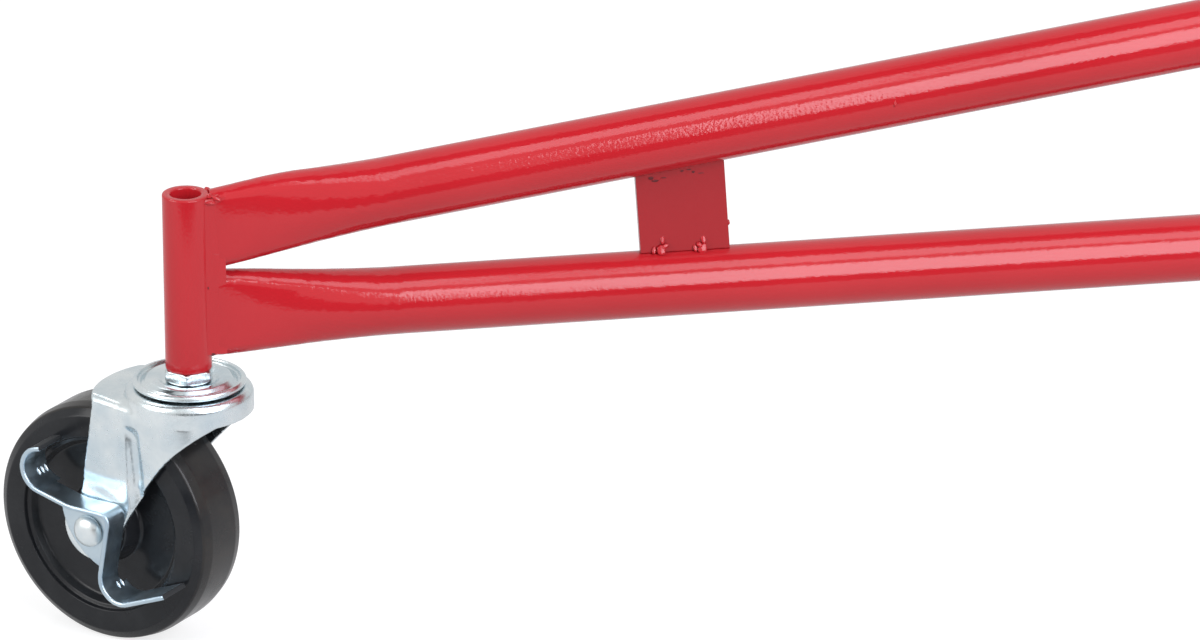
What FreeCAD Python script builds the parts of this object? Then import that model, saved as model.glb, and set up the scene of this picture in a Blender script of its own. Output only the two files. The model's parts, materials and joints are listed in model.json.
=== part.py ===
import FreeCAD, Part
import math
import operator
import os
from types import SimpleNamespace

import Sketcher
from FreeCAD import Placement, Rotation, Vector

# Drywall panel lift: a three-legged base on braked casters, a telescopic mast with a hand winch,
# and a tilting cradle with extending arms.
# The origin is on the floor, on the mast's axis. +Z is up and the rear leg lies along -X.

# Driving sizes, in millimetres and degrees.
SIZES = {
    # legs
    "tube_diameter": 26.9,
    "tube_wall": 1.5,
    "flat_thickness": 11.0,  # of the flattened tube ends
    "flare_length": 76.0,  # from a flattened end to the full round
    "leg_reach": 545.0,  # swivel axis to hinge axis
    "leg_rise": 7.8,  # slope of the upper tube
    "lower_tube_lift": 22.5,  # lower tube's axis above the sleeve's foot
    "tube_spacing": 35.6,  # between the tubes' axes at the sleeve
    "sleeve_diameter": 18.6,
    "sleeve_bore": 12.2,
    "sleeve_length": 73.3,
    "spacer_distance": 199.3,  # from the swivel axis
    "spacer_width": 36.0,
    "spacer_thickness": 3.0,
    "weld_gap": 0.1,
    # casters
    "caster_heading": 138.0,  # direction that the wheels trail in, from +X
    "wheel_diameter": 100.0,
    "wheel_width": 30.0,
    "wheel_shoulder": 6.0,
    "rim_inner_radius": 36.5,
    "rim_recess": 5.5,
    "recess_slope": 2.5,
    "wheel_hub_radius": 14.0,
    "trail": 34.5,
    "wheel_headroom": 5.5,  # wheel to the fork's crown
    "fork_gap": 35.0,  # between the fork's legs
    "sheet": 2.5,
    "crown_radius": 25.6,
    "crown_rim": 5.0,
    "crown_tail": 33.5,  # legs' back edge at the crown, behind the swivel axis
    "crown_bow": 6.0,  # crown's back edge, curved out behind the legs
    "crown_bend": 4.0,  # outer round from the crown to the legs
    "skirt_depth": 26.0,  # height over which the crown draws in to the legs
    "fork_end_radius": 13.5,
    "fork_back_angle": 65.0,  # where the back edge leaves the round end
    "fork_nose": 21.5,  # front edge's upper end ahead of the swivel axis
    "fork_hollow": 4.8,  # depth of the front edge's curve
    "rib_width": 7.0,
    "rib_depth": 1.8,
    "rib_offset": 13.5,  # behind the swivel axis
    "rib_lift": 9.0,  # above the axle
    "rib_share": 0.8,  # of the skirt's height that the rib runs up
    "race_height": 4.6,
    "race_round": 3.4,
    "race_dish": 15.0,  # radius of the hollow for the balls
    "race_gap": 0.8,
    "cap_radius": 22.9,
    "cap_rim": 1.3,  # radius of the rolled rim
    "cap_groove": 0.9,
    "cap_hump": 7.0,  # radius of the raised ring's section
    "cap_hollow": 12.6,  # raised ring's inner radius
    "cap_seat": 1.8,  # collar's foot above the cap's lower edge
    "collar_flats": 18.0,
    "collar_height": 4.8,
    "stem_clearance": 0.1,
    "stem_length": 62.0,
    "kingpin_radius": 5.0,
    "kingpin_head": 8.0,
    "turning_fit": 0.1,
    "side_play": 0.3,
    "axle_radius": 4.0,
    "axle_head_radius": 6.5,
    "axle_head": 3.6,
    "axle_head_dome": 6.0,  # radius of the head's dome
    "bush_radius": 6.0,
    "nut_flats": 13.0,
    "nut_height": 6.5,
    # brake levers
    "lever_sheet": 2.0,
    "lever_width": 12.0,
    "pad_width": 15.6,
    "lever_corner_radius": 3.5,
    "lever_rise": 12.8,  # strip's corner above the axle
    "lever_advance": 16.3,  # strip's corner ahead of the axle
    "lever_angle": 80.0,  # between the two arms
    "rear_flat": 16.5,  # level run of the strip behind its corner
    "rear_bend_radius": 20.0,
    "rear_slope": 14.0,  # rear arm's rise towards its pad
    "rear_arm": 13.5,
    "rear_curl": 154.0,
    "rear_pad": 1.5,  # straight end of the pad
    "front_arm": 26.3,
    "front_curl": 122.0,
    "front_pad": 19.5,
    "pad_bend_radius": 9.2,
    "web_radius": 29.7,
    "pad_clearance_radius": 24.0,
    # hub
    "hinge_radius": 95.0,
    "lobe_radius": 24.0,
    "hub_plate": 6.0,
    "hub_headroom": 4.0,
    "barrel_diameter": 28.0,
    "hinge_bolt_radius": 6.0,
    "bolt_head_flats": 18.0,
    "bolt_head_height": 7.5,
    "drain_radius": 15.0,
    "socket_height": 250.0,
    "socket_wall": 3.0,
    "socket_fit": 0.3,
    "clamp_screw_radius": 4.0,
    "knob_radius": 26.0,
    "knob_height": 18.0,
    "knob_neck": 12.0,
    # mast
    "mast_side": 60.0,
    "mast_wall": 3.0,
    "mast_length": 1105.0,
    "middle_side": 50.0,
    "middle_wall": 2.5,
    "inner_side": 40.0,
    "inner_wall": 2.5,
    "section_step": 10.0,  # each section's foot above the foot of the one outside it
    "corner_radius": 5.0,
    "collar_flange": 10.0,
    "collar_lip": 3.0,
    "liner_depth": 60.0,
    "glide_fit": 0.3,
    "rest_gap": 0.3,
    # winch
    "winch_height": 800.0,
    "winch_offset": 62.0,  # drum axis to the mast's face
    "winch_plate": 5.0,
    "drum_radius": 28.0,
    "drum_width": 58.0,
    "drum_flange_radius": 48.0,
    "drum_flange": 3.0,
    "shaft_radius": 8.0,
    "disc_radius": 42.0,
    "disc_thickness": 6.0,
    "brake_arm": 105.0,
    "brake_gap": 0.6,
    "hand_wheel_radius": 140.0,
    "rim_radius": 10.0,
    "spoke_radius": 6.0,
    "wheel_boss_radius": 20.0,
    "wheel_boss_length": 30.0,
    "grip_length": 86.0,
    "grip_radius": 14.0,
    "grip_pin_radius": 5.0,
    # head and cradle
    "yoke_plate": 8.0,
    "spigot_depth": 60.0,
    "cheek": 6.0,
    "cheek_play": 1.0,
    "pin_offset": 50.0,
    "pin_height": 24.0,
    "pin_radius": 6.0,
    "pin_eye_radius": 14.0,
    "beam_lift": 15.0,  # beam's underside above the tilt pin
    "beam_width": 50.0,
    "beam_height": 40.0,
    "beam_wall": 2.5,
    "beam_length": 620.0,
    "lug": 5.0,
    "arm_side": 32.0,
    "arm_wall": 2.0,
    "arm_length": 1220.0,
    "arm_spread": 580.0,
    "extension_side": 27.0,
    "extension_length": 560.0,
    "extension_out": 45.0,
    "extension_cap": 5.0,
    "hook_spread": 720.0,
    "hook_width": 40.0,
    "hook_sheet": 4.0,
    "hook_reach": 26.0,  # above the arms' top
    "hook_pin_radius": 4.0,
    "hook_eye_radius": 8.0,
    "hook_lug": 5.0,
}

LEG_ANGLES = {"rear": 180.0, "left": 60.0, "right": -60.0}

doc = FreeCAD.newDocument("PanelLift")
sheet = doc.addObject("Spreadsheet::Sheet", "Sizes")
for row, (alias, number) in enumerate(SIZES.items(), start=1):
    sheet.set(f"A{row}", alias.replace("_", " "))
    sheet.set(f"B{row}", str(number))
    sheet.setAlias(f"B{row}", alias)
doc.recompute()


class Formula:
    """A size that carries its number and the cell expression that gives it."""

    def __init__(self, value, text):
        self.value = value
        self.text = text

    def __float__(self):
        return self.value

    def __add__(self, other):
        return joined(self, "+", other, operator.add)

    def __radd__(self, other):
        return joined(other, "+", self, operator.add)

    def __sub__(self, other):
        return joined(self, "-", other, operator.sub)

    def __rsub__(self, other):
        return joined(other, "-", self, operator.sub)

    def __mul__(self, other):
        return joined(self, "*", other, operator.mul)

    def __rmul__(self, other):
        return joined(other, "*", self, operator.mul)

    def __truediv__(self, other):
        return joined(self, "/", other, operator.truediv)

    def __neg__(self):
        return joined(0.0, "-", self, operator.sub)


def formula(size):
    if isinstance(size, Formula):
        return size
    return Formula(float(size), f"{float(size):.9f}")


def joined(left, sign, right, work):
    left = formula(left)
    right = formula(right)
    return Formula(work(left.value, right.value), f"({left.text} {sign} {right.text})")


def tangent(angle):
    return Formula(math.tan(math.radians(angle.value)), f"tan({angle.text} * 1 deg)")


def cosine(angle):
    return Formula(math.cos(math.radians(angle.value)), f"cos({angle.text} * 1 deg)")


S = SimpleNamespace(**{alias: Formula(float(sheet.get(alias)), f"Sizes.{alias}") for alias in SIZES})

# Heights that several pieces share.
axle_height = S.wheel_diameter / 2
crown_under = S.wheel_diameter + S.wheel_headroom
crown_top = crown_under + S.sheet
race_top = crown_top + S.race_height
cap_foot = race_top + S.race_gap
collar_foot = cap_foot + S.cap_seat
sleeve_foot = collar_foot + S.collar_height
lower_axis = sleeve_foot + S.lower_tube_lift
upper_axis = lower_axis + S.tube_spacing
tube_radius = S.tube_diameter / 2
# A flattened end keeps the round tube's perimeter.
flat_half = (S.tube_diameter - S.flat_thickness) * (math.pi / 4) + S.flat_thickness / 2
upper_end_axis = upper_axis + S.leg_reach * tangent(S.leg_rise)
hub_floor = lower_axis - flat_half - S.hub_headroom
hub_ceiling = upper_end_axis + flat_half / cosine(S.leg_rise) + S.hub_headroom
leg_radius = S.hinge_radius + S.leg_reach
mast_top = hub_floor + S.mast_length
middle_top = mast_top + S.collar_flange + S.rest_gap
inner_top = middle_top + S.collar_flange + S.rest_gap
yoke_top = inner_top + S.yoke_plate
pin_axis = yoke_top + S.pin_height
beam_floor = pin_axis + S.beam_lift
beam_top = beam_floor + S.beam_height
arm_top = beam_top + S.arm_side
fork_half = S.fork_gap / 2 + S.sheet
drum_axis_x = -(S.mast_side / 2 + S.winch_offset)
winch_half = S.drum_width / 2 + S.drum_flange + S.side_play

UP = Rotation()
ALONG_Y = Rotation(Vector(1, 0, 0), -90)
ALONG_X = Rotation(Vector(0, 1, 0), 90)
ACROSS = Vector(0, 1, 0)
nodes = []


def node(thing, label, placement=None):
    """Names a finished sub-part and, where it belongs to a leg or caster, puts it there."""
    if placement is not None:
        if thing.ExpressionEngine:
            thing = group(thing)
        thing.Placement = placement
    thing.Label = label
    nodes.append(thing)


def bind(thing, name, size):
    thing.setExpression(name, formula(size).text)


def put(thing, at, turn):
    thing.Placement = Placement(Vector(), turn)
    for axis, size in zip("xyz", at):
        bind(thing, f"Placement.Base.{axis}", size)
    return thing


def block(wide, deep, tall, at=(0, 0, 0)):
    """A box that stands on the middle of its lower face."""
    box = doc.addObject("Part::Box", "Block")
    bind(box, "Length", wide)
    bind(box, "Width", deep)
    bind(box, "Height", tall)
    x, y, z = at
    return put(box, (x - formula(wide) / 2, y - formula(deep) / 2, z), UP)


def rod(radius, length, at=(0, 0, 0), turn=UP):
    cylinder = doc.addObject("Part::Cylinder", "Rod")
    bind(cylinder, "Radius", radius)
    bind(cylinder, "Height", length)
    return put(cylinder, at, turn)


def hexagon(flats, length, at=(0, 0, 0), turn=UP):
    prism = doc.addObject("Part::Prism", "Hexagon")
    prism.Polygon = 6
    bind(prism, "Circumradius", flats / math.sqrt(3))
    bind(prism, "Height", length)
    return put(prism, at, turn)


def fuse(*shapes):
    joint = doc.addObject("Part::MultiFuse", "Fused")
    joint.Shapes = list(shapes)
    joint.Refine = True
    return joint


def group(*shapes):
    together = doc.addObject("Part::Compound", "Group")
    together.Links = list(shapes)
    return together


def cut(base, *tools):
    difference = doc.addObject("Part::Cut", "Cut")
    difference.Base = base
    difference.Tool = tools[0] if len(tools) == 1 else fuse(*tools)
    difference.Refine = True
    return difference


def pipe(outer, inner, length, at=(0, 0, 0), turn=UP):
    return cut(rod(outer, length, at, turn), rod(inner, length, at, turn))


def rounded_bar(wide, deep, tall, radius, at=(0, 0, 0), turn=UP):
    """A bar of rounded rectangular section, along Z before it is turned."""
    bar = doc.addObject("PartDesign::Body", "Bar")
    x = formula(wide) / 2
    y = formula(deep) / 2
    corners = [
        (x, radius - y), (x, y - radius), (x - radius, y, radius), (radius - x, y),
        (-x, y - radius, radius), (-x, radius - y), (radius - x, -y, radius), (x - radius, -y),
    ]
    pad(bar, outline(bar, "XY_Plane", corners, closing=radius), tall)
    return put(bar, at, turn)


def square_tube(wide, deep, wall, length, at=(0, 0, 0), turn=UP):
    outer = rounded_bar(wide, deep, length, S.corner_radius, at, turn)
    inner = rounded_bar(wide - 2 * wall, deep - 2 * wall, length, S.corner_radius - wall, at, turn)
    return cut(outer, inner)


def outline(body, role, corners, closing=None):
    """A closed sketch on one of the body's own planes, held at every corner by the sheet.

    A corner is (x, y), or (x, y, radius) where the side that ends there is an arc that bulges
    to the right of the way round; a negative radius bulges to the left. The last side, back to
    the first corner, is an arc where closing gives its radius.
    """
    sketch = body.newObject("Sketcher::SketchObject", "Outline")
    plane = [part for part in body.Origin.OriginFeatures if part.Role == role][0]
    sketch.AttachmentSupport = [(plane, "")]
    sketch.MapMode = "FlatFace"
    radii = [corner[2] if len(corner) > 2 else None for corner in corners[1:]] + [closing]
    places = [Vector(float(corner[0]), float(corner[1]), 0) for corner in corners]
    for index, radius in enumerate(radii):
        start = places[index]
        end = places[(index + 1) % len(places)]
        if radius is None:
            sketch.addGeometry(Part.LineSegment(start, end), False)
            continue
        middle = arc_middle(start, end, float(radius))
        if float(radius) < 0:
            start, end = end, start
        sketch.addGeometry(Part.Arc(start, middle, end), False)
    ends = [side_ends(sketch, index, place) for index, place in enumerate(places)]
    for index in range(len(places)):
        following = (index + 1) % len(places)
        meeting = (index, ends[index][1], following, ends[following][0])
        sketch.addConstraint(Sketcher.Constraint("Coincident", *meeting))
    for index, corner in enumerate(corners):
        hold(sketch, index, ends[index][0], corner)
    for index, radius in enumerate(radii):
        if radius is None:
            continue
        chord = places[(index + 1) % len(places)] - places[index]
        size = formula(radius)
        size = size if size.value > 0 else -size
        if chord.Length > 1.999 * size.value:
            hold_middle(sketch, index, chord, corners[index])
            continue
        number = sketch.addConstraint(Sketcher.Constraint("Radius", index, size.value))
        bind(sketch, f"Constraints[{number}]", size)
    return sketch


def hold_middle(sketch, index, chord, corner):
    """Keeps a half circle's centre on its upright or level chord."""
    upright = abs(chord.y) > abs(chord.x)
    size = formula(corner[0] if upright else corner[1])
    kind = "DistanceX" if upright else "DistanceY"
    number = sketch.addConstraint(Sketcher.Constraint(kind, -1, 1, index, 3, size.value))
    bind(sketch, f"Constraints[{number}]", size)


def arc_middle(start, end, radius):
    chord = end - start
    half = chord.Length / 2
    sagitta = abs(radius) - math.sqrt(max(radius * radius - half * half, 0.0))
    right = Vector(chord.y, -chord.x, 0).normalize()
    return (start + end) * 0.5 + right * math.copysign(sagitta, radius)


def side_ends(sketch, index, start):
    """Which end of a side, 1 or 2, is its first and its last on the way round."""
    side = sketch.Geometry[index]
    if side.StartPoint.distanceToPoint(start) < side.EndPoint.distanceToPoint(start):
        return 1, 2
    return 2, 1


def hold(sketch, index, end, corner):
    for kind, axis, size in (("DistanceX", -2, corner[0]), ("DistanceY", -1, corner[1])):
        size = formula(size)
        if abs(size.value) < 1e-9:
            sketch.addConstraint(Sketcher.Constraint("PointOnObject", index, end, axis))
            continue
        number = sketch.addConstraint(Sketcher.Constraint(kind, -1, 1, index, end, size.value))
        bind(sketch, f"Constraints[{number}]", size)


def pad(body, sketch, length, symmetric=False):
    feature = body.newObject("PartDesign::Pad", "Pad")
    feature.Profile = sketch
    feature.SideType = "Symmetric" if symmetric else "One side"
    bind(feature, "Length", length)
    return feature


def turned(corners, at=(0, 0, 0), turn=UP, closing=None):
    """A body turned about Z from a profile of (radius, height) corners."""
    body = doc.addObject("PartDesign::Body", "Turned")
    sketch = outline(body, "XZ_Plane", corners, closing)
    feature = body.newObject("PartDesign::Revolution", "Turn")
    feature.Profile = sketch
    feature.ReferenceAxis = (sketch, ["V_Axis"])
    return put(body, at, turn)


def profile_plate(corners, thickness, at=(0, 0, 0), role="XZ_Plane", closing=None):
    """A plate whose outline lies on one of the main planes, centred on that plane."""
    body = doc.addObject("PartDesign::Body", "Plate")
    pad(body, outline(body, role, corners, closing), thickness, symmetric=True)
    return put(body, at, UP)


def feature(shape):
    thing = doc.addObject("Part::Feature", "Shape")
    thing.Shape = shape
    return thing


# Legs. A leg's own frame has the swivel axis as its Z axis and its X axis towards the mast.

def oval(x, thick_half, tall_half, round_radius, roundness):
    """A tube's section at x, from a flat oval (roundness 0) to a circle (roundness 1)."""
    flat_straight = tall_half - thick_half
    diagonal = round_radius / math.sqrt(2)

    def between(flat, full):
        return flat + (full - flat) * roundness

    side = between(thick_half, round_radius)
    top = between(tall_half, round_radius)
    corner_y = between(thick_half, diagonal)
    corner_z = between(flat_straight, diagonal)

    def bow(first, middle, last):
        if roundness == 0 and first[0] == last[0]:
            return Part.LineSegment(Vector(x, *first), Vector(x, *last)).toShape()
        return Part.Arc(Vector(x, *first), Vector(x, *middle), Vector(x, *last)).toShape()

    right_low, right_high = (corner_y, -corner_z), (corner_y, corner_z)
    left_low, left_high = (-corner_y, -corner_z), (-corner_y, corner_z)
    return Part.Wire([
        bow(right_low, (side, 0), right_high),
        bow(right_high, (0, top), left_high),
        bow(left_high, (-side, 0), left_low),
        bow(left_low, (0, -top), right_low),
    ])


def flared_bar(length, inset):
    """A round bar flattened at both ends; inset makes the bore inside a wall of that thickness."""
    flare = float(S.flare_length)
    start = float(S.sleeve_diameter) / 2
    sizes = (float(S.flat_thickness) / 2 - inset, float(flat_half) - inset, float(tube_radius) - inset)
    steps = [0.0, 0.2, 0.4, 0.6, 0.8, 1.0]
    ease = [step ** 0.8 for step in steps]
    sections = [oval(0.0, *sizes, 0.0)]
    sections += [oval(start + flare * step, *sizes, t * t * (3 - 2 * t)) for step, t in zip(steps, ease)]
    near_end = Part.makeLoft(sections, True)
    far_end = near_end.mirror(Vector(length / 2, 0, 0), Vector(1, 0, 0))
    straight = Part.Face(sections[-1]).extrude(Vector(length - 2 * (start + flare), 0, 0))
    return near_end.fuse([straight, far_end]).removeSplitter()


def leg_tube(height, slope):
    """A leg tube in the leg's frame, coped to the caster sleeve and the hinge barrel."""
    reach = float(S.leg_reach)
    length = reach / math.cos(math.radians(slope))
    tube = flared_bar(length, 0.0).cut(flared_bar(length, float(S.tube_wall)))
    tube.Placement = Placement(Vector(0, 0, height), Rotation(Vector(0, 1, 0), -slope))
    tall = float(hub_ceiling) * 2
    gap = float(S.weld_gap)
    sleeve = Part.makeCylinder(float(S.sleeve_diameter) / 2 + gap, tall)
    barrel = Part.makeCylinder(float(S.barrel_diameter) / 2 + gap, tall, Vector(reach, 0, 0))
    beyond = Part.makeBox(reach, tall, tall, Vector(-reach, -tall / 2, 0))
    past = Part.makeBox(reach, tall, tall, Vector(reach, -tall / 2, 0))
    return feature(tube.cut([sleeve, barrel, beyond, past]))


def spacer_plate():
    """The plate between the tubes, square to the line midway between them."""
    half = S.spacer_width / 2
    lean = tangent(S.leg_rise / 2)
    foot = lower_axis + tube_radius + S.weld_gap
    rise = tangent(S.leg_rise)
    slack = tube_radius * (1 / math.cos(math.radians(float(S.leg_rise)))) + S.weld_gap

    def head(x):
        tall = upper_axis + x * rise - slack - foot
        return x - tall * lean, foot + tall - tall * lean * rise

    left = S.spacer_distance - half
    right = S.spacer_distance + half
    return profile_plate([(left, foot), (right, foot), head(right), head(left)], S.spacer_thickness)


def hinge_barrel():
    return pipe(
        S.barrel_diameter / 2, S.hinge_bolt_radius + S.turning_fit,
        hub_ceiling - hub_floor - 2 * S.side_play, (S.leg_reach, 0, hub_floor + S.side_play),
    )


def make_leg(leg, angle):
    heading = Rotation(Vector(0, 0, 1), angle + 180)
    away = Rotation(Vector(0, 0, 1), angle).multVec(Vector(float(leg_radius), 0, 0))
    place = Placement(away, heading)
    node(leg_tube(float(lower_axis), 0.0), f"{leg}_lower_tube", place)
    node(leg_tube(float(upper_axis), float(S.leg_rise)), f"{leg}_upper_tube", place)
    node(spacer_plate(), f"{leg}_spacer_plate", place)
    sleeve = pipe(S.sleeve_diameter / 2, S.sleeve_bore / 2, S.sleeve_length, (0, 0, sleeve_foot))
    node(sleeve, f"{leg}_caster_sleeve", place)
    node(hinge_barrel(), f"{leg}_hinge_barrel", place)
    make_caster(leg, Placement(away, Rotation(Vector(0, 0, 1), float(S.caster_heading))))


# Casters. A caster's own frame has the swivel axis as its Z axis and its X axis along the trail.

def caster_stem():
    """Threaded stem, hexagonal collar and the kingpin that is riveted under the fork."""
    stem = rod(S.sleeve_bore / 2 - S.stem_clearance, S.stem_length, (0, 0, sleeve_foot))
    collar = hexagon(S.collar_flats, S.collar_height, (0, 0, collar_foot))
    chamfer = S.collar_flats / 2
    edge = S.collar_height / 2
    crown = turned(
        [(0, -edge), (chamfer, -edge), (chamfer * 1.16, -edge * 0.55), (chamfer * 1.16, edge * 0.55),
         (chamfer, edge), (0, edge)],
        (0, 0, collar_foot + edge),
    )
    rounded = doc.addObject("Part::Common", "Collar")
    rounded.Base = collar
    rounded.Tool = crown
    head_top = crown_under - S.side_play
    kingpin = rod(S.kingpin_radius, collar_foot - head_top + S.sheet, (0, 0, head_top - S.sheet))
    head = rod(S.kingpin_head, S.sheet, (0, 0, head_top - S.sheet))
    return fuse(stem, rounded, kingpin, head)


def caster_cap():
    """Upper race: a cap with a rolled rim, a groove and a raised ring round the collar."""
    bore = S.kingpin_radius + S.turning_fit
    rim = S.cap_radius - S.cap_rim
    rim_top = cap_foot + S.cap_rim * 2
    return turned([
        (bore, cap_foot), (rim, cap_foot), (S.cap_radius, cap_foot + S.cap_rim, S.cap_rim),
        (rim, rim_top, S.cap_rim), (rim - S.cap_groove, rim_top - S.cap_groove),
        (S.cap_hollow, collar_foot, S.cap_hump), (bore, collar_foot),
    ])


def crown_touch(radius, half):
    """Where the crown's round front meets the straight side that runs to a leg's back edge."""
    neck = float(S.crown_tail)
    touch = math.acos(min(radius / math.hypot(neck, half), 1.0)) + math.atan2(half, neck)
    if half >= radius:
        touch = math.pi / 2
    return Vector(radius * math.cos(touch), radius * math.sin(touch), 0)


def crown_face(radius, half, height):
    """The crown seen from above: round in front, drawn in to the legs, and long behind."""
    touch = crown_touch(radius, half)
    sides = [touch, Vector(float(S.crown_tail), half, 0), Vector(crown_reach(), half, 0)]
    others = [Vector(point.x, -point.y, 0) for point in reversed(sides)]
    points = sides + others
    front = Part.Arc(points[-1], Vector(-radius, 0, 0), points[0]).toShape()
    wire = Part.Wire([front] + [Part.LineSegment(*ends).toShape() for ends in zip(points, points[1:])])
    wire.translate(Vector(0, 0, height))
    return wire


def crown_reach():
    """How far behind the swivel axis the fork's body is drawn before its side view trims it."""
    return float(S.crown_tail) + float(S.fork_end_radius) + float(S.trail)


def crown_bell(inset, top, foot):
    """The fork's drawn body: a wide round crown that narrows downwards into two flat legs."""
    half = float(fork_half) - inset
    waist = float(crown_top) - float(S.crown_rim) - float(S.skirt_depth)
    brim = float(crown_top) - float(S.crown_rim)
    wide = crown_face(float(S.crown_radius) - inset, half, brim)
    narrow = crown_face(half, half, waist)
    skirt = Part.makeLoft([narrow, wide], True, True)
    crown = Part.Face(wide).extrude(Vector(0, 0, top - brim))
    upper = [edge for edge in crown.Edges if edge.BoundBox.ZMin > (top + brim) / 2]
    crown = crown.makeFillet(float(S.crown_bend) - inset, upper)
    legs = Part.Face(narrow).extrude(Vector(0, 0, foot - waist))
    return skirt.fuse([crown, legs])


def lower_race():
    """Raised round of the crown, with a hollow for the balls."""
    brim = float(crown_top) - float(S.crown_rim)
    race = Part.makeCylinder(float(S.crown_radius), float(race_top) - brim, Vector(0, 0, brim))
    upper = [edge for edge in race.Edges if edge.BoundBox.ZMin > (float(race_top) + brim) / 2]
    race = race.makeFillet(float(S.race_round), upper)
    dish = Part.makeCylinder(float(S.race_dish), float(S.race_height), Vector(0, 0, float(crown_top)))
    return race.cut(dish)


def crown_lip():
    """Outline of the crown behind the legs, as a block that trims the drawn body."""
    neck = float(S.crown_tail)
    half = float(fork_half)
    start = Vector(neck, -half, float(crown_under))
    end = Vector(neck, half, float(crown_under))
    bow = Part.Arc(start, Vector(neck + float(S.crown_bow), 0, float(crown_under)), end).toShape()
    face = Part.Face(Part.Wire([bow, Part.LineSegment(end, start).toShape()]))
    return face.extrude(Vector(0, 0, float(S.sheet)))


def fork_side():
    """The fork seen from the side, as a slab that trims the drawn body."""
    axle_x = float(S.trail)
    axle_z = float(axle_height)
    end = float(S.fork_end_radius)
    tail = float(S.crown_tail)
    top = float(race_top)
    brim = float(crown_top) - float(S.crown_rim)
    spare = float(S.side_play)
    front = -float(S.crown_radius) - spare
    span = 4 * float(fork_half)
    back_angle = math.radians(float(S.fork_back_angle))
    axle = Vector(axle_x, 0, axle_z)
    low_front = axle - Vector(end, 0, 0)
    low_back = axle + Vector(math.cos(back_angle), 0, -math.sin(back_angle)) * end
    back = axle + Vector(math.cos(back_angle), 0, math.sin(back_angle)) * end
    knee = Vector(-float(S.fork_nose), 0, brim - spare)
    chord = (knee - low_front).normalize()
    hollow = (low_front + knee) * 0.5 + Vector(chord.z, 0, -chord.x) * float(S.fork_hollow)
    edges = [
        Part.LineSegment(Vector(front, 0, top + spare), Vector(front, 0, brim)),
        Part.LineSegment(Vector(front, 0, brim), knee),
        Part.Arc(knee, hollow, low_front),
        Part.Arc(low_front, Vector(axle_x, 0, axle_z - end), low_back),
        Part.Arc(low_back, Vector(axle_x + end, 0, axle_z), back),
        Part.LineSegment(back, Vector(tail, 0, brim)),
        Part.LineSegment(Vector(tail, 0, brim), Vector(tail, 0, top + spare)),
        Part.LineSegment(Vector(tail, 0, top + spare), Vector(front, 0, top + spare)),
    ]
    face = Part.Face(Part.Wire([edge.toShape() for edge in edges]))
    face.translate(Vector(0, -span / 2, 0))
    return face.extrude(Vector(0, span, 0))


def caster_fork():
    """Drawn steel fork with the lower race, stiffening ribs pressed in its legs and the axle holes."""
    sheet_size = float(S.sheet)
    foot = 0.0
    bell = crown_bell(0.0, float(crown_top), foot).fuse(lower_race())
    space = crown_bell(sheet_size, float(crown_under), foot)
    body = bell.cut(space)
    fork = body.common(fork_side()).fuse(body.common(crown_lip())).removeSplitter()
    hole = float(S.kingpin_radius + S.turning_fit)
    fork = fork.cut(Part.makeCylinder(hole, 3 * sheet_size, Vector(0, 0, float(crown_under) - sheet_size)))
    across = 4 * float(fork_half)
    axle = Part.makeCylinder(float(S.axle_radius + S.weld_gap), across,
                             Vector(float(S.trail), -across / 2, float(axle_height)), ACROSS)
    fork = fork.cut(axle)
    for side in (-1, 1):
        fork = fork.cut(fork_rib(side))
    return feature(fork)


def fork_rib(side):
    """Pressed rib: a round groove that runs up a leg and on along the skirt's flare."""
    radius = (float(S.rib_width) ** 2 / 4 + float(S.rib_depth) ** 2) / (2 * float(S.rib_depth))
    away = float(fork_half) + radius - float(S.rib_depth)
    x = float(S.rib_offset)
    brim = float(crown_top) - float(S.crown_rim)
    foot = Vector(x, side * away, float(axle_height) + float(S.rib_lift))
    waist = Vector(x, side * away, brim - float(S.skirt_depth))
    flare = Vector(0, side * (crown_edge(x) - float(fork_half)), float(S.skirt_depth))
    leg = Part.makeCylinder(radius, waist.z - foot.z, foot)
    skirt = Part.makeCylinder(radius, flare.Length * float(S.rib_share), waist, flare)
    elbow = Part.makeSphere(radius, waist)
    return leg.fuse([skirt, elbow])


def crown_edge(x):
    """Half width of the crown's brim behind its round front."""
    half = float(fork_half)
    neck = float(S.crown_tail)
    touch = crown_touch(float(S.crown_radius), half)
    return half + (touch.y - half) / (neck - touch.x) * (neck - x)


def caster_wheel():
    """Solid wheel: round-shouldered tread, a recessed web on both faces and a long hub."""
    radius = S.wheel_diameter / 2
    half = S.wheel_width / 2
    bore = S.bush_radius + S.turning_fit
    hub_half = S.fork_gap / 2 - S.side_play
    web_half = half - S.rim_recess
    web_radius = S.rim_inner_radius - S.recess_slope
    shoulder = S.wheel_shoulder
    corners = [
        (bore, -hub_half), (S.wheel_hub_radius, -hub_half), (S.wheel_hub_radius + S.recess_slope, -web_half),
        (web_radius, -web_half), (S.rim_inner_radius, -half), (radius - shoulder, -half),
        (radius, shoulder - half, shoulder), (radius, half - shoulder), (radius - shoulder, half, shoulder),
        (S.rim_inner_radius, half), (web_radius, web_half), (S.wheel_hub_radius + S.recess_slope, web_half),
        (S.wheel_hub_radius, hub_half), (bore, hub_half),
    ]
    return turned(corners, (S.trail, 0, axle_height), ALONG_Y)


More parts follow.
